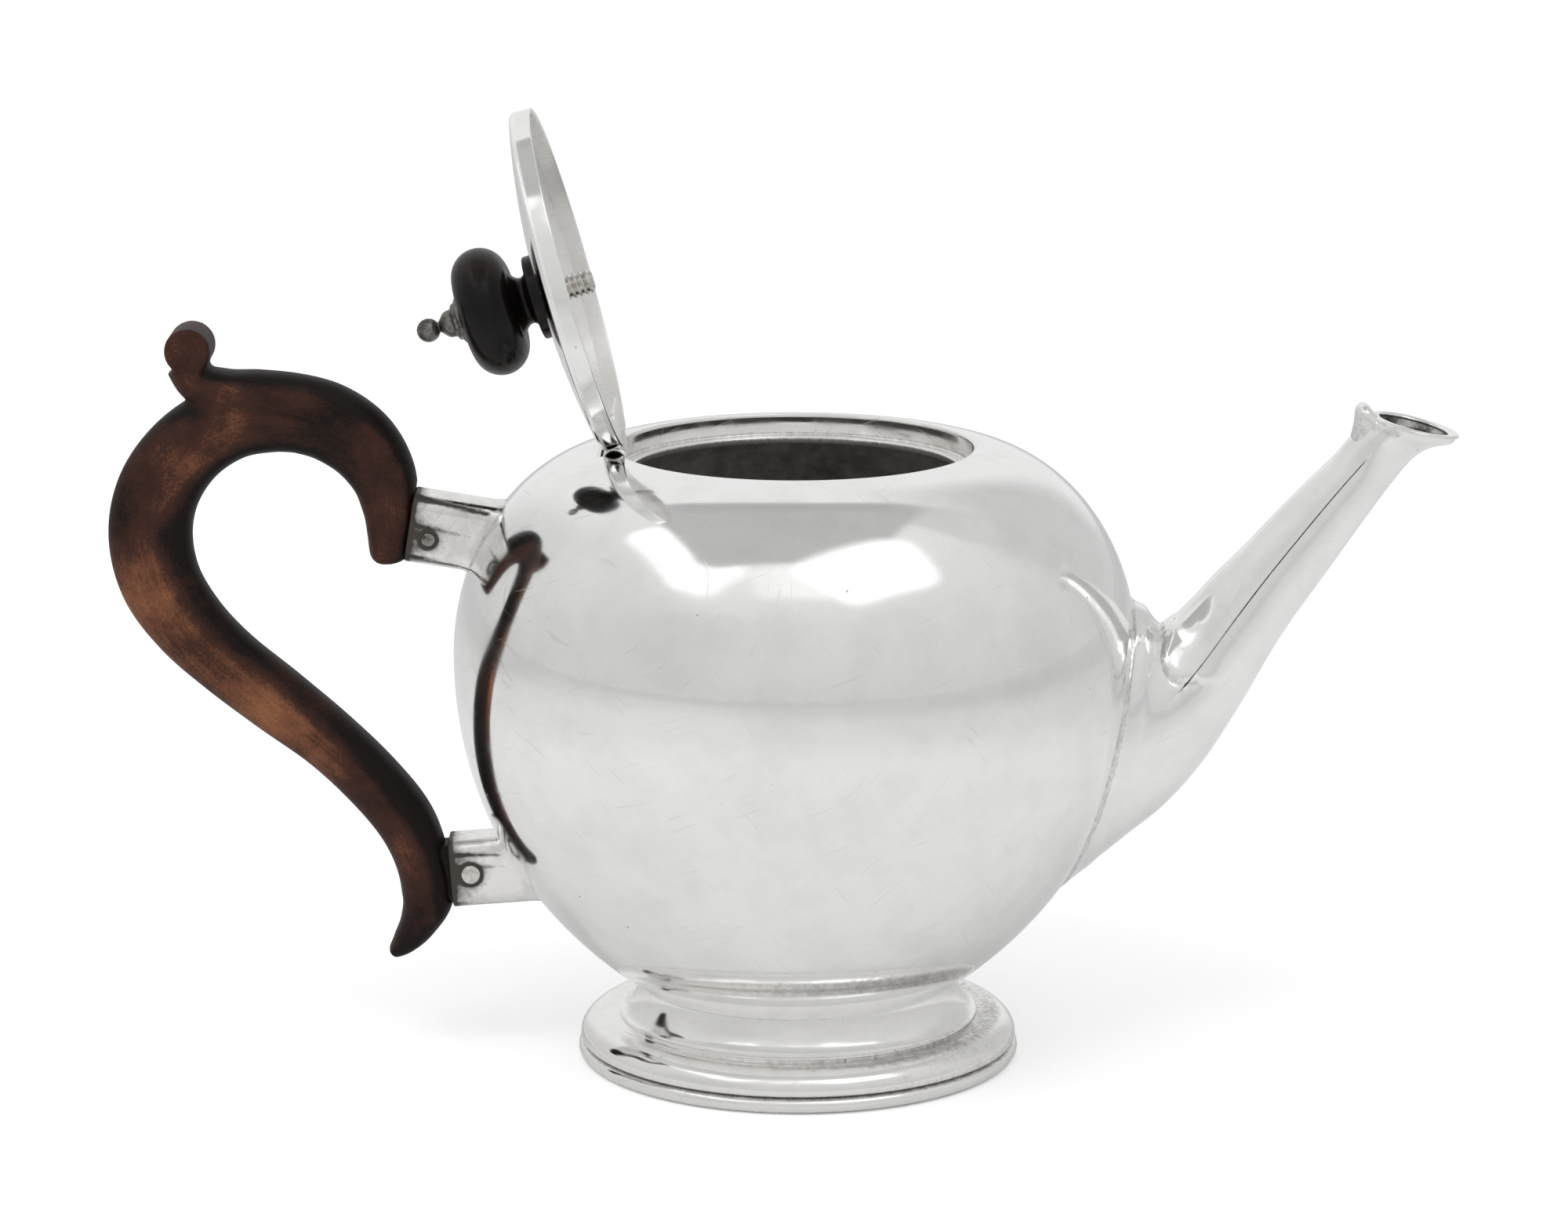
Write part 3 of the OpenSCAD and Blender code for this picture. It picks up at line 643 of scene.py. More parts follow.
spout = {
    "rows": [  # top x, top z, bottom x, bottom z, half width
        [57, 79.2, 46.3, 29.5, 19.5], [59.5, 77.9, 50.3, 33.5, 17], [62, 75.5, 56.2, 38.3, 14],
        [64.5, 76.5, 63.1, 43.9, 11.5], [67.5, 79.6, 69.6, 51.5, 9.8],
        [71.2, 83.8, 75.6, 61.1, 8.8], [76.5, 89.2, 82.5, 73.4, 7.6], [82, 95.2, 90.4, 85, 6.7],
        [87.3, 100.7, 97.2, 94.9, 5.9], [91, 104.4, 101.6, 101, 5.5],
        [93.4, 107.3, 104.5, 104.3, 5.8], [94.9, 108.9, 107.5, 106.0, 6.5],
        [96.1, 110.1, 110.6, 106.6, 7.4], [97.1, 111.1, 111.3, 107.7, 7.8]],
    "wall": 0.9, "lip": 1.35, "lipPoint": 1.2, "seam": 72.0, "seamBevel": 0.2,
    "seamFrom": 2.7, "seamTo": 3.2,
    # side view of the fold where the tube sinks into its broad root: x, z
    "fold": [[60.2, 78.6], [61.4, 76.9], [62.6, 74.7], [62.0, 71.2], [62.8, 68.5], [64.8, 67.3],
             [67.5, 67.4]],
    "foldDepth": 0.45, "foldWidth": 0.7, "foldSwell": 0.35, "collar": 2.5, "collarRise": 0.3}


def spoutPoint(s, a, inset):
    # ellipse between the top and bottom points of row s at angle a from the top; the first
    # span is drawn on to the body's own surface
    row = throughRows(spout["rows"], s)
    top, low = row[..., 0:2], row[..., 2:4]
    middle, up = (top + low) / 2, top - low
    half = np.linalg.norm(up, axis=-1)
    along = middle + up / half[..., None] * ((half / 2 - inset) * np.cos(a))[..., None]
    y = (row[..., 4] - inset) * np.sin(a)
    seat = np.clip(1 - s, 0, 1)
    reach = np.interp(along[..., 1], outline[:, 1], outline[:, 0])
    onBody = np.sqrt(np.maximum(reach ** 2 - y ** 2, 0)) - inset
    return np.stack([along[..., 0] * (1 - seat) + onBody * seat, y, along[..., 1]], -1)


def offFold(points):
    # distance in side view from each point to the fold, and whether it is on the tube's side
    line = evenly(spout["fold"], 120)
    flat = points.reshape(-1, 3)[:, ::2]
    k = nearest(flat, line)
    gap = flat - line[k]
    side = (gap * leftOf(line)[k]).sum(1)
    return np.hypot(*gap.T).reshape(points.shape[:-1]), side.reshape(points.shape[:-1]) > 0


def spoutRelief(points):
    # negative raises the skin: a low collar hugs the body, the tube swells beside its fold
    distance, onTube = offFold(points)
    step = np.clip((spout["collar"] + 0.6 - bodyGap(points)) / 1.2, 0, 1)
    return (spout["foldDepth"] * bell(distance, spout["foldWidth"])
            - spout["foldSwell"] * bell(distance, 3) * onTube
            - spout["collarRise"] * step * step * (3 - 2 * step))


def spoutShell(start, end, columns):
    # closed wall, outside round one way and inside back, from the body to a rounded lip;
    # its two long edges are eased so that the seam shows as a fine groove
    last, count, lipCount = len(spout["rows"]) - 1, 190, 9
    s = np.concatenate([np.linspace(0, last, count), np.full(lipCount, last)])
    turn = np.concatenate([np.zeros(count), np.radians(np.linspace(0, 90, lipCount))])[:, None]
    a = np.radians(np.linspace(start, end, columns))
    eased = np.zeros(columns)
    eased[[0, -1]] = spout["seamBevel"]
    a[1], a[-2] = a[0] + (a[2] - a[0]) * 0.25, a[-1] - (a[-1] - a[-3]) * 0.25
    row, angle = np.meshgrid(s, a, indexing="ij")
    # the lip thickens towards its point, where the wall lies almost along the mouth
    extra = ((spout["lip"] - spout["wall"]) * rise(row, last - 0.45, 0.45) ** 2
             * (1 + spout["lipPoint"] * (1 - np.cos(angle)) / 2))
    half = (spout["wall"] + extra) / 2
    depth, reach = half - extra * 0.45, half * np.cos(turn)
    # the seam shows between the root's fold and the leaf, and is filed away beyond them
    shows = rise(row, spout["seamFrom"], 0.6) * rise(last - spout["seamTo"] - row, 0, 0.8)
    plain = spoutPoint(row, angle, 0)
    outer = spoutPoint(row, angle, depth - reach + eased * shows + spoutRelief(plain))
    inner = spoutPoint(row, angle, depth + reach)
    step = plain - spoutPoint(row - 0.05, angle, 0)
    push = 0.5 * np.sin(turn)[..., None] * step / np.linalg.norm(step, axis=-1)[..., None]
    push[s < 0.02] += [-0.5, 0, 0]  # the root is sunk in the body
    rings = np.concatenate([outer + push, (inner + push)[:, ::-1]], 1)
    gap, nearTip = bodyGap(plain), bell(row - last + 1.1, 0.7) * (np.abs(angle) < 2.2)
    outerStain = (0.6 * (eased > 0) * shows + 0.34 * bell(gap, 0.35) + 0.12 * bell(gap - 3, 0.35)
                  + 0.3 * bell(offFold(plain)[0], 0.8) + 0.3 * nearTip)
    # inside the tube: painted shade, darker deep in and lighter towards the lip, with streaks round
    # it; the lip itself is kept light
    innerStain = 0.65 - 0.17 * rise(row, last - 1.2, 1.2) + 0.12 * np.sin(7 * angle)
    innerStain[-lipCount:] = 0.2
    stain = closedWall(np.concatenate([outerStain, innerStain[:, ::-1]], 1)[..., None])[0]
    return closedWall(rings), stain.ravel()


for name, start, end, columns in (("lower", spout["seam"], 360 - spout["seam"], 90),
                                  ("upper", -spout["seam"], spout["seam"], 64)):
    shell, stain = spoutShell(start, end, columns)
    addPiece("spout_" + name, shell, polishedSilver, ["spout_" + name + "_shell"], stain=stain)

tipLeaf = {
    "half": 3.3, "middle": (96.4, 110.2),
    "outline": [  # side view of the turned-up leaf: x, z
        [93.3, 106.2], [94.0, 109.3], [94.3, 111.9], [94.75, 112.95], [95.55, 113.35],
        [96.4, 113.0], [96.9, 112.3], [97.6, 111.7], [98.4, 111.1], [98.8, 110.2],
        [98.4, 108.6], [97.6, 107.0], [95.6, 105.5], [93.3, 106.2]]}


def turnedUpLeaf():
    # the side view's outline drawn in towards its middle as it goes across, like a cushion
    line, middle = evenly(tipLeaf["outline"], 90)[:-1], np.array(tipLeaf["middle"])
    a = np.radians(np.linspace(-86, 86, 26))
    flat = middle + (line - middle) * (np.cos(a) ** 0.55)[:, None, None]
    y = tipLeaf["half"] * np.sign(np.sin(a)) * np.abs(np.sin(a)) ** 0.9
    y = np.broadcast_to(y[:, None], flat.shape[:2])
    return carried(np.stack([flat[..., 0], y, flat[..., 1]], -1))


addPiece("spout_leaf", turnedUpLeaf(), polishedSilver, ["spout_tip_scroll"],
         stain=lambda p: 0.1 + 0.2 * (p[:, 2] < 109.5))
print("spout made")

sockets = {
    "height": 11.9, "width": 9.6, "wall": 0.9, "edge": 2.4, "lip": 0.3, "pinInset": 3.5,
    "pinProud": 0.5,
    # dark reflection lines painted along a socket: how far down, how dark and how wide
    "upper": {"x": -65.1, "z": 92.6, "slope": -9.3, "pin": 1.05, "drop": 1.3,
              "folds": ((-5.4, 1.0, 0.42), (4.6, 0.7, 0.3), (-0.9, 0.34, 0.35))},
    "lower": {"x": -58.9, "z": 32.1, "slope": 4.2, "pin": 1.5, "drop": 0.0,
              "folds": ((-3.7, 0.6, 0.35), (5.1, 0.3, 0.3), (-1.6, 0.3, 0.3))}}


def roundedBox(height, width, edge, between=26):
    # outline of a bar: quarter circles, joined by straight sides cut into short steps
    arcs = [arc(90 * quarter, 90 * quarter + 90, 8, edge,
                (sx * (height / 2 - edge), sy * (width / 2 - edge)))
            for quarter, (sx, sy) in enumerate(((1, 1), (-1, 1), (-1, -1), (1, -1)))]
    sides = [start[-1] + (end[0] - start[-1]) * np.linspace(0, 1, between + 2)[1:-1, None]
             for start, end in zip(arcs, arcs[1:] + arcs[:1])]
    return np.vstack([part for pair in zip(arcs, sides) for part in pair])


def fromMouth(local, place):
    # socket's own measure (down, across, in) to the pot's: in runs into the body at the slope
    c, s = cosSin(place["slope"])
    return (np.array([place["x"], 0, place["z"]]) + local[..., :1] * np.array([s, 0, -c])
            + local[..., 1:2] * np.array([0, 1, 0]) + local[..., 2:] * np.array([c, 0, s]))


def reachBody(ring, place, longest=24.0):
    # how far along the socket each point of its outline meets the body, by halving the span
    low, high = np.zeros(len(ring)), np.full(len(ring), longest)
    for turn in range(30):
        mid = (low + high) / 2
        inside = bodyGap(fromMouth(atHeight(ring, mid), place)) < 0
        high, low = np.where(inside, mid, high), np.where(inside, low, mid)
    return high


def socketShell(place):
    height, width, wall = sockets["height"], sockets["width"], sockets["wall"]
    edge, lip = sockets["edge"], sockets["lip"]
    outer = roundedBox(height, width, edge)
    inner = roundedBox(height - 2 * wall, width - 2 * wall, edge - wall)
    far, near = reachBody(outer, place), reachBody(inner, place)
    rows = [atHeight(outer * (1 - lip * (1 - math.sin(turn)) / 6), lip * (1 - math.cos(turn)))
            for turn in np.linspace(0, math.pi / 2, 5)]  # rounded mouth
    rows += [atHeight(outer * (1 + 0.05 * rise(t, 0.86, 0.14) ** 2), far * t + 0.25 * (t > 0.99))
             for t in np.linspace(0.04, 1, 56)]
    rows += [atHeight(inner, near * t) for t in np.linspace(1, 0, 12)]
    return gridShape(fromMouth(np.array(rows), place), loopRows=True)


def domedPin(place):
    # rivet across the socket, its two heads hammered to low domes
    r, half = place["pin"], sockets["width"] / 2
    dome = arc(0, 90, 8, r + 0.15, (0, half + 0.05), sockets["pinProud"])
    line = np.vstack([[[0, -half - 0.5]], (dome * [1, -1])[::-1][1:],
                           [[r, -half + 0.3], [r, half - 0.3]], dome[:-1], [[0, half + 0.55]]])
    return moved(turned(line, 48, closed=False), lambda p: fromMouth(
        p[:, [0, 2, 1]] + [place["drop"], 0, sockets["pinInset"]], place))


def socketStain(place):
    # dark by the wood, round the pin, in the joint with the body, and painted reflection lines
    # along it
    c, s = cosSin(place["slope"])

    def stain(points):
        gap = bodyGap(points)
        x, z = points[:, 0] - place["x"], points[:, 2] - place["z"]
        inward, down = x * c + z * s, x * s - z * c
        ring = np.hypot(inward - sockets["pinInset"], down - place["drop"]) - place["pin"]
        folds = sum(depth * bell(down - at - 0.06 * inward, width)
                    for at, depth, width in place["folds"])
        return (0.45 * bell(gap, 0.4) + 0.95 * bell(ring - 0.35, 0.35) + 0.38 * bell(ring, 2.6)
                + 0.8 * bell(inward, 0.7) + 0.46 * bell(inward, 2.6) + folds * rise(gap, 1.2, 1))
    return stain


for name in ("upper", "lower"):
    addPiece(name + "_ferrule", socketShell(sockets[name]), dentedSilver, [name + "_socket"],
             stain=socketStain(sockets[name]))
for name, metal in (("upper", oxidisedSteel), ("lower", turnedSteel)):
    addPiece(name + "_rivet", domedPin(sockets[name]), metal, [name + "_handle_pin"], "steel_pin")
print("sockets and pins made")

handle = {
    "thick": 10.8, "corner": 2.5, "voxel": 0.38, "rollAt": (-101.7, 122.7), "roll": 7.8,
    "rollTone": 0.36, "barrelTone": 0.25,
    # for each scroll: its rows of x, z and half width; by row, how far in from the edge (1) to
    # the other (-1) the dark begins, and how dark the whole is; and which side is the dark one;
    # the dark is partly wear and partly painted shade on the side towards the pot
    "upper": {
        "rows": [
            [-68.4, 86.2, 2], [-68.5, 87.4, 3.4], [-68.5, 91, 3.9], [-68.5, 95.6, 4.7],
            [-69.7, 101.2, 5.6], [-73.2, 106.4, 6.3], [-78.7, 110.1, 6.6], [-85.4, 112, 6.5],
            [-91.4, 113.9, 5.2], [-96.2, 115.4, 3.7], [-100.4, 116.8, 3.4], [-102.3, 120.2, 3.6]],
        "dark": ([0, 3, 6, 9, 11], [0.8, 0.7, 0.55, 0.45, 0.5]),
        "tone": ([0, 3, 6, 9, 11], [0.05, 0.12, 0.35, 0.15, 0.15]), "side": -1, "grainFrom": 0},
    "lower": {
        "rows": [
            [-82, 110.9, 6.2], [-88, 111.4, 6.4], [-95.3, 110.1, 6.5], [-102.3, 105.7, 6.7],
            [-107.3, 98.9, 7], [-109.1, 91, 7.1], [-107.6, 82.7, 6.9], [-103, 75.3, 6.4],
            [-96.6, 68.8, 5.9], [-88.2, 62, 5.7], [-79.5, 55, 5.2], [-72.2, 47.8, 5.1],
            [-66.8, 40.9, 5], [-64, 34.1, 4.6], [-63, 27.8, 4.5], [-64.7, 22.8, 3.3],
            [-67.2, 19.3, 2.2], [-69.3, 17.4, 1]],
        "dark": ([0, 3, 5, 7, 9, 12, 14, 15, 17], [0.8, 0.5, 0.1, 0.2, 0.2, 0.0, 0.15, 0.8, 0.9]),
        "tone": ([0, 3, 4.9, 6.2, 8.5, 10.5, 12, 14, 17],
                 [0.0, 0.0, 0.3, -0.3, -0.32, -0.15, 0.4, 0.38, 0.0]),
        "side": 1, "grainFrom": 200}}


def scroll(rows, cuts=260, sides=72):
    # rounded-oblong rings along the rows' middle line, thinner where the scroll narrows
    row = evenly(rows, cuts)
    left = leftOf(row[:, :2])
    thick = handle["thick"] / 2 * np.minimum(1, 0.35 + 0.65 * row[:, 2] / 4)
    a = ringAngles(sides)
    across, out = [(np.sign(f) * np.abs(f) ** (2 / handle["corner"]))[None] * size[:, None]
                   for f, size in ((np.cos(a), row[:, 2]), (np.sin(a), thick))]
    return carried(np.stack([row[:, :1] + left[:, :1] * across, out,
                             row[:, 1:2] + left[:, 1:] * across], -1))


def bar(place, height, width, edge, start, end):
    ring = roundedBox(height, width, edge)
    return carried(fromMouth(np.array([atHeight(ring, t) for t in (start, end)]), place))


def carvedHandle():
    roll = acrossPot(rod(handle["roll"] / 2, handle["thick"] / 2, 0.9, 72), *handle["rollAt"])
    solid = joined(scroll(handle["upper"]["rows"]), scroll(handle["lower"]["rows"]), roll)
    solid = reworked(solid, ("REMESH", {"mode": "VOXEL", "voxel_size": handle["voxel"] * mm}),
                     ("SMOOTH", {"factor": 0.5, "iterations": 6}))
    height, width, slack = sockets["height"], sockets["width"], 2 * (sockets["wall"] + 0.1)
    solid = cutAway(solid, bar(sockets["upper"], height + 4, 20, 1, 0, 12),
                    bar(sockets["lower"], height + 2, 20, 1, 0, 12))
    tenons = [triangulated(bar(sockets[end], height - slack, width - slack, 1.5, -3, 7))
              for end in ("upper", "lower")]
    return joined(solid, *tenons)


def handleMeasures(mesh):
    # lengthwise measure along the nearer scroll for the grain, and how dark the wood is, partly
    # wear and partly painted shade on the side towards the pot, the two scrolls blended by their
    # nearness
    p = readThrees(mesh.vertices, "co") / mm
    near, lines, darks = [], [], []
    for part in (handle["upper"], handle["lower"]):
        t = np.linspace(0, len(part["rows"]) - 1, 300)
        row = throughRows(part["rows"], t)
        steps = np.linalg.norm(np.diff(row[:, :2], axis=0), axis=1)
        walked = np.concatenate([[0], np.cumsum(steps)])
        k = nearest(p[:, ::2], row[:, :2])
        gap = p[:, ::2] - row[k, :2]
        side = (gap * leftOf(row[:, :2])[k]).sum(1)
        reach = side / row[k, 2] * part["side"]
        depth, tone = np.interp(t[k], *part["dark"]), np.interp(t[k], *part["tone"])
        # painted shade: dark from the row's depth out to the dark side's edge, and along the other
        # edge
        rim = np.maximum((reach - depth) / 0.5, (-reach - 0.85) / 0.5)
        back = (np.abs(p[:, 1]) - handle["thick"] / 2 + 1.1) / 1.1  # clean on the broad faces
        back = (0.5 - back) * np.clip(0.6 + reach, 0.1, 1)
        near.append(np.hypot(*gap.T) + 0.6)
        lines.append(np.stack([part["grainFrom"] + walked[k], side, p[:, 1]], 1))
        darks.append(np.clip(np.maximum(rim, back), 0, 1) + tone)
    weight = 1 / near[0] ** 5 / (1 / near[0] ** 5 + 1 / near[1] ** 5)
    along = np.where((weight > 0.5)[:, None], lines[0], lines[1])
    edge = weight * darks[0] + (1 - weight) * darks[1]
    # the thumb roll: brown on its flat ends, darker round its barrel
    x, z = handle["rollAt"]
    onRoll = np.clip(1.2 + handle["roll"] / 2 - np.hypot(p[:, 0] - x, p[:, 2] - z), 0, 1)
    onRoll = onRoll * (p[:, 2] > z - 3.6)
    barrel = rise(handle["thick"] / 2 - 0.3 - np.abs(p[:, 1]), 0, 1.2)
    setValues(mesh, "along", along * mm, "FLOAT_VECTOR")
    tone = handle["rollTone"] + handle["barrelTone"] * barrel
    setValues(mesh, "edge", edge * (1 - onRoll) + onRoll * tone)


handleMeasures(addPiece("scroll_handle", carvedHandle(), carvedFruitwood, ["handle"],
                        "handle_wood", sharp=55))
print("handle made")


def fromHinge(points):
    return np.hypot(points[:, 0] - hinge["x"], points[:, 2] - hinge["z"])


knuckle = (hinge["width"] - hinge["lidTube"]) / 2 - hinge["gap"]
knuckles = [moved(onHinge(rod(hinge["radius"], knuckle / 2, 0.15, hole=hinge["hole"])),
                  [0, side * (hinge["width"] - knuckle) / 2, 0]) for side in (-1, 1)]
# the knuckles' bores are painted dark: painted shade inside the holes
addPiece("pot_hinge_tubes", joined(*knuckles), handRubbedSilver, ["pot_knuckles"],
         stain=lambda p: 0.12 + 0.8 * (fromHinge(p) < hinge["radius"] - 0.3))
addPiece("hinge_wire", onHinge(rod(hinge["pin"], hinge["width"] / 2 - hinge["pinInset"])),
         blackenedWire, ["hinge_pin"], "steel_pin")


def hingeTrough():
    # part of a tube under the hinge: an arc of wall from the outer side round to the inner
    outer, inner = [arc(172, 274, 30, radius) for radius in (hinge["seat"], hinge["radius"] + 0.32)]
    ring, half = np.vstack([outer, inner[::-1]]), hinge["width"] / 2
    return onHinge(closedWall(np.array([atHeight(ring, y) for y in (-half, half)])))


addPiece("hinge_trough", hingeTrough(), handRubbedSilver, ["hinge_seat"], stain=0.15)

lid = {
    "open": 105.6, "radius": 29.4, "rise": 3.2, "edgeZ": 106.1, "dome": 0.9, "band": 0.8,
    "leafZ": 102.6, "leaf": 0.8, "leafHalf": 9.0, "leafEnd": -22.2, "notchHalf": 8.3,
    "boreRadius": 1.85, "knobShift": 1.3, "knobLean": 1.5}
sphere = (lid["radius"] ** 2 + lid["rise"] ** 2) / (2 * lid["rise"])
apexZ = lid["edgeZ"] + lid["rise"]
tubeEnd = hinge["x"] + hinge["radius"] + hinge["gap"]


def domeZ(r, inset):
    return apexZ - sphere + np.sqrt((sphere - inset) ** 2 - r ** 2)


def onKnobAxis(shape):
    # the knob stands a little towards the hinge and leans with it
    leaning = moved(shape, lambda p: turnAbout(p, -lid["knobLean"], 0, apexZ))
    return moved(leaning, [-lid["knobShift"], 0, 0])


def lidPiece(name, shape, material, replaced, slot="silver", **settings):
    # shapes are made with the lid shut, and opened here as the model has it
    opened = moved(shape, lambda p: turnAbout(p, -lid["open"], hinge["x"], hinge["z"]))
    return addPiece(name, opened, material, replaced, slot, "lid", **settings)


def shut(points):
    return turnAbout(points, lid["open"], hinge["x"], hinge["z"])


def block(low, high):
    (x0, y0, z0), (x1, y1, z1) = low, high
    ring = [[x0, y0], [x1, y0], [x1, y1], [x0, y1]]
    return carried(np.array([atHeight(ring, z) for z in (z0, z1)]))


notch = block([-36, -lid["notchHalf"], 100], [tubeEnd, lid["notchHalf"], 112])


def lidDome():
    # shallow cap of a sphere with a wall, its outer edge rounded
    wide, low = lid["radius"], domeZ(lid["radius"], lid["dome"])
    r = np.linspace(0, wide - 0.35, 60)
    outer, inner = [np.stack([r, domeZ(r, inset)], 1) for inset in (0, lid["dome"])]
    edge = [[wide - 0.12, low + 0.75], [wide, low + 0.5], [wide, low + 0.25], [wide, low]]
    return turned(np.vstack([outer, edge, inner[::-1]]), 240, closed=False)


def underDome(points):
    p = shut(points)
    return p[:, 2] < domeZ(np.minimum(radiusOf(p), lid["radius"]), lid["dome"] * 0.6)


bore = onKnobAxis(moved(rod(lid["boreRadius"], 5, 0.01, 48), [0, 0, apexZ]))
lidPiece("lid_top", cutAway(lidDome(), notch, bore), polishedSilver, ["lid_dome"], stain=0.08,
         inner=(pickledSilver, underDome))


def lidBand():
    # upright band that drops inside the mouth, its lower edge rounded
    outer, inner = lid["radius"], lid["radius"] - lid["band"]
    return turned(softened([[inner, lid["leafZ"]], [outer, lid["leafZ"]],
                            [outer, domeZ(outer, lid["dome"])],
                            [inner, domeZ(inner, lid["dome"]) + 0.05]], [0.3, 0.3, 0, 0]), 240)


lidPiece("lid_rim", cutAway(lidBand(), notch), polishedSilver, ["lid_band"], stain=0.1,
         inner=(pickledSilver, lambda points: radiusOf(shut(points)) < lid["radius"] - 0.4))


def leafPlate():
    # flat leaf with softened corners from the tube into the lid, and the tube itself
    end, half, low, top = lid["leafEnd"], lid["leafHalf"], lid["leafZ"], lid["leaf"]
    curve = softened([[tubeEnd, -half], [end, -half], [end, half], [tubeEnd, half]],
                     [0.8, 2, 2, 0.8], count=7)
    middle, size = np.array([(tubeEnd + end) / 2, 0]), np.array([(end - tubeEnd) / 2, half])
    plate = [atHeight(middle + (curve - middle) * (1 - inset / size), low + z)
             for inset, z in ((0.25, 0), (0.07, 0.07), (0, 0.25), (0, top - 0.25),
                              (0.07, top - 0.07), (0.25, top))]
    neck = block([hinge["x"] + 0.6, -hinge["lidTube"] / 2, low],
                 [tubeEnd + 0.4, hinge["lidTube"] / 2, low + top])
    barrel = rod(hinge["radius"], hinge["lidTube"] / 2, 0.15, hole=hinge["pin"] + 0.05)
    return joined(triangulated(carried(np.array(plate))),
                  cutAway(neck, onHinge(rod(hinge["radius"] - 0.3, 10, 0.01))),
                  triangulated(onHinge(barrel)))


lidPiece("lid_hinge_leaf", leafPlate(), pickledSilver, ["lid_leaf"], stain=0.1,
         inner=(handRubbedSilver, lambda points: fromHinge(points) < hinge["radius"] + 0.1))
print("lid made")

knob = {"bulb": 21.9, "bulbHeight": 9.4, "foot": 14.3, "waist": 7.5, "waistHeight": 4.4,
        "screw": 3.5, "threadWidth": 4.2, "reach": 9.0, "pitch": 1.0, "thread": 0.42}
finial = {"radius": 3.95, "ball": 2.0, "ballZ": 6.2}
nut = {"corner": 3.6, "chamfer": 3.15, "height": 1.8}
bulbZ = apexZ + knob["waistHeight"]
finialZ = bulbZ + knob["bulbHeight"]


def turnedKnob():
    # foot seated on the dome, hollow waist, and a bulb whose side is a half circle
    footR, waistR, half = knob["foot"] / 2, knob["waist"] / 2, knob["bulbHeight"] / 2
    top, inside = apexZ + 1.5, knob["screw"] / 2 + 0.1
    foot = softened([[footR - 0.2, domeZ(footR, 0) - 0.1], [footR, domeZ(footR, 0)], [footR, top],
                     [waistR + 1.8, top]], [0.1, 0.1, 0.35, 0.3], closed=False)
    waist = cubic([[waistR + 1.8, top], [waistR - 0.4, top + 0.4], [waistR - 0.4, bulbZ - 0.6],
                   [waistR + 2.6, bulbZ + 0.35]])
    bulb = arc(-80, 88, 48, half, (knob["bulb"] / 2 - half, bulbZ + half))
    return turned(np.vstack([[[inside, apexZ - 0.1]], foot[:-1], waist[:-1], bulb,
                                  [[inside, finialZ + 0.02]]]), 160)


knobMesh = lidPiece("turned_knob", onKnobAxis(turnedKnob()), ebonisedWood, ["knob"], "knob_wood")
setValues(knobMesh, "along", readThrees(knobMesh.vertices, "co"), "FLOAT_VECTOR")


def turnedFinial():
    r, z = finial["radius"], finialZ
    steps = softened(
        [[0, z + 0.05], [r - 0.1, z], [r, z + 0.6], [r - 0.7, z + 0.9], [r - 0.9, z + 1.5],
         [r - 1.6, z + 1.8], [r - 1.7, z + 2.9], [r - 2.3, z + 3.6], [0.9, z + 4.2]],
        [0, 0.2, 0.3, 0.2, 0.25, 0.3, 0.4, 0.4, 0], closed=False)
    ball = arc(-63, 90, 24, finial["ball"], (0, z + finial["ballZ"]))
    return turned(np.vstack([steps, ball]), 96, closed=False)


lidPiece("knob_finial", onKnobAxis(turnedFinial()), castSilver, ["finial"], "dull_silver")


def threadedScrew():
    # radius falls and rises with the height less the turn, so the ridge is a helix
    foot, top, r = apexZ - knob["reach"], apexZ - lid["dome"] - 0.09, knob["threadWidth"] / 2
    z, a = np.linspace(foot, top - 0.01, 190)[:, None], ringAngles(48)[None]
    phase = (z - foot) / knob["pitch"] - a / (2 * np.pi)
    wave = np.abs((phase % 1) - 0.5) * 2
    ease = 0.75 + 0.25 * rise(z, foot, 0.6)
    thread = spun((r - knob["thread"] * (1 - np.clip(wave * 1.3, 0, 1))) * ease, z, a)
    shank = [spun(knob["screw"] / 2 + 0.02, height, a) for height in (top, finialZ + 1)]
    return carried(np.vstack([thread, *shank]))


def hexNut():
    # six-sided nut with chamfered corners and a hole
    foot, tall = apexZ - lid["dome"] - 0.2 - nut["height"], nut["height"]
    a = ringAngles(120)
    flat = nut["corner"] * math.cos(math.pi / 6) / np.cos((a + np.pi / 6) % (np.pi / 3) - np.pi / 6)
    hole, face = knob["threadWidth"] / 2 + 0.03, np.minimum(flat, nut["chamfer"])
    rows = ((hole, 0.0), (face, 0.0), (flat, 0.3), (flat, tall - 0.3), (face, tall), (hole, tall))
    return gridShape(np.array([spun(radius, foot + z, a) for radius, z in rows]), loopRows=True)


for name, shape, node, sharp in (("knob_screw_thread", threadedScrew(), "knob_screw", 60),
                                 ("knob_hex_nut", hexNut(), "knob_nut", 25)):
    lidPiece(name, onKnobAxis(shape), turnedSteel, [node], "screw_steel", sharp=sharp)
print("knob made")

view = {"place": (-0.00192, -0.880, 0.2726), "down": 0.2178, "lens": 121.894, "film": 36.0}
cameraData = bpy.data.cameras.new("camera")
cameraData.lens, cameraData.sensor_width = view["lens"], view["film"]
cameraData.clip_start, cameraData.clip_end = 0.01, 50
camera = newObject("camera", cameraData)
camera.location = view["place"]
camera.rotation_euler = (math.pi / 2 - view["down"], 0, 0)
bpy.context.scene.camera = camera
bpy.context.scene.view_settings.view_transform = "Standard"

board = {"tones": [(0.0, "#f1f1f1"), (0.05, "#e6e6e6"), (0.28, "#d8d8d8"), (1.0, "#e2e2e2")],
         "fade": (0.2, 2.0), "lift": (0.36, 0.56), "liftedBy": 0.3, "radius": 6.0}


def lookedAt(tree):
    # 1 where the camera, or glass, looks straight at a surface
    rays = addNode(tree, "LightPath", output=None).outputs
    return maths(tree, "MAXIMUM", rays["Is Camera Ray"], rays["Is Transmission Ray"])


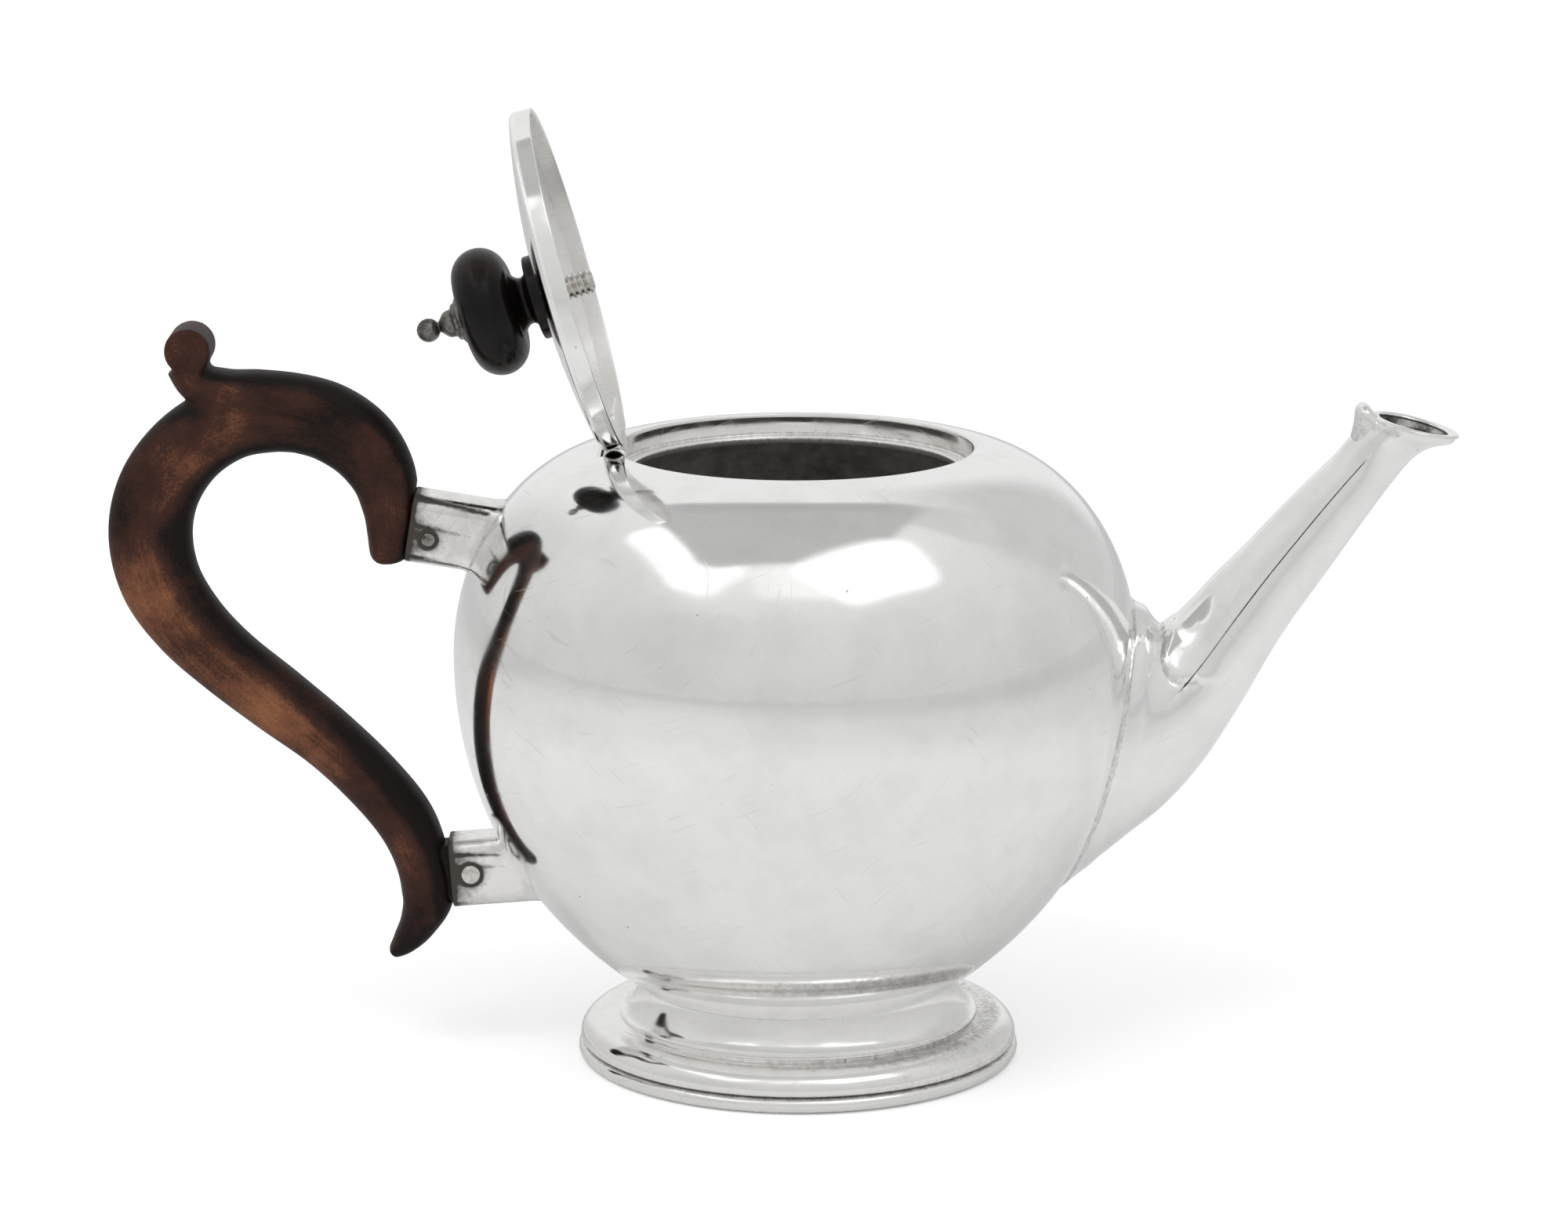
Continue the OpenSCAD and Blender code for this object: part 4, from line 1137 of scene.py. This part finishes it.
def paleFloor(tones, fade, lift, liftedBy, radius):
    # matt white board: its grey evens out the lamp's falling off, and it is lifted to white
    # only where it is looked at
    material = bpy.data.materials.new("paintedBoard")
    tree = emptyTree(material)
    place = addNode(tree, "TexCoord", output="Object")
    share = spread(tree, vectors(tree, "LENGTH", place, output="Value"), *fade)
    raised = maths(tree, "MULTIPLY", lookedAt(tree), spread(tree, share, 0.0, liftedBy, *lift))
    matt = addNode(tree, "BsdfDiffuse", {"Color": ramp(tree, share, tones)})
    glow = addNode(tree, "Emission", {"Color": (1, 1, 1, 1), "Strength": raised})
    both = addNode(tree, "AddShader", {0: matt, 1: glow})
    addNode(tree, "OutputMaterial", {"Surface": both}, None)
    mesh = bpy.data.meshes.new("floor")
    mesh.from_pydata(spun(radius, -0.0001, ringAngles(96)).tolist(), [], [list(range(96))])
    mesh.materials.append(material)
    floor = newObject("floor", mesh)


paleFloor(**board)

room = {
    "walls": [(0.0, 0.72), (0.44, 0.69), (0.5, 0.62), (0.58, 0.65), (0.75, 0.70), (0.9, 0.74),
              (1.0, 0.74)],
    # soft panels all round, later ones over earlier: middle, half size, turn in degrees, rounded
    # margin, softness and brightness; the measure is x/(1+z), -y/(1+z) of a direction, so that
    # straight up is 0, 0, level is 1 away, and the camera's side is +y
    "panels": [
        ((0.0, -0.60), (0.22, 0.30), 0, 0.14, 0.12, 0.84),
        ((-0.62, 0.52), (0.12, 0.12), 45, 0.16, 0.16, 0.62),
        ((-0.02, 0.17), (0.18, 0.10), 0, 0.14, 0.10, 0.82),
        ((0.46, -0.46), (0.12, 0.16), 40, 0.14, 0.10, 0.60),
        ((0.27, -0.17), (0.08, 0.03), 10, 0.05, 0.015, 0.64),
        ((-0.275, 0.07), (0.02, 0.13), 0, 0.05, 0.025, 1.25),
        ((-0.23, 0.22), (0.05, 0.03), -35, 0.05, 0.03, 1.2),
        ((0.0, 0.30), (0.07, 0.04), 0, 0.045, 0.025, 0.98),
        ((-0.022, -0.041), (0.145, 0.165), 0, 0.07, 0.014, 0.50),
        ((-0.02, -0.23), (0.12, 0.01), 0, 0.03, 0.03, 0.45),
        ((0.19, 0.205), (0.07, 0.10), 42, 0.065, 0.035, 1.4)]}


def studioRoom(walls, panels):
    # plain pale room: walls shaded by height and soft panels, white where it is looked at
    world = bpy.data.worlds.new("room")
    bpy.context.scene.world = world
    tree = emptyTree(world)
    way = addNode(tree, "TexCoord", output="Generated")
    z = addNode(tree, "SeparateXYZ", {0: way}, output="Z")
    level = ramp(tree, spread(tree, z, -1.0, 1.0), walls)
    flat = vectors(tree, "MULTIPLY", way, (1, -1, 0))
    share = maths(tree, "DIVIDE", 1.0, maths(tree, "ADD", z, 1.0001))
    flat = addNode(tree, "VectorMath", {0: flat, "Scale": share}, operation="SCALE")
    for middle, half, turn, margin, soft, glow in panels:
        local = addNode(tree, "Mapping", {
            "Vector": flat, "Location": (*middle, 0), "Rotation": (0, 0, math.radians(turn))},
            vector_type="TEXTURE")
        out = vectors(tree, "SUBTRACT", vectors(tree, "ABSOLUTE", local), (*half, 0))
        out = vectors(tree, "LENGTH", vectors(tree, "MAXIMUM", out, (0, 0, 0)), output="Value")
        mask = spread(tree, out, margin - soft, margin + soft, 1.0, 0.0,
                      interpolation_type="SMOOTHSTEP")
        level = mixed(tree, mask, level, (glow, glow, glow, 1))
    light = addNode(tree, "Background", {"Color": level, "Strength": 1.0})
    white = addNode(tree, "Background", {"Color": (1, 1, 1, 1), "Strength": 1.0})
    both = addNode(tree, "MixShader", {0: lookedAt(tree), 1: light, 2: white})
    addNode(tree, "OutputWorld", {"Surface": both}, None)


studioRoom(**room)


def keyLamp(azimuth, elevation, width, height, glow, distance, aimZ):
    # broad lamp aimed at the belly; its face is glow times as bright as white paper, so its
    # power is pi times that and its area
    data = bpy.data.lights.new("keyLamp", "AREA")
    data.shape, data.size, data.size_y = "RECTANGLE", width, height
    data.energy = glow * math.pi * width * height
    lamp = newObject("keyLamp", data)
    (c, s), (level, up) = cosSin(azimuth), cosSin(elevation)
    lamp.location = (distance * s * level, -distance * c * level, distance * up + aimZ)
    lamp.rotation_euler = (math.radians(90 - elevation), 0, math.radians(azimuth))
    lamp.visible_glossy = False


keyLamp(azimuth=-38, elevation=52, width=0.9, height=0.7, glow=1.9, distance=1.3, aimZ=0.07)
print("camera, floor and light set")
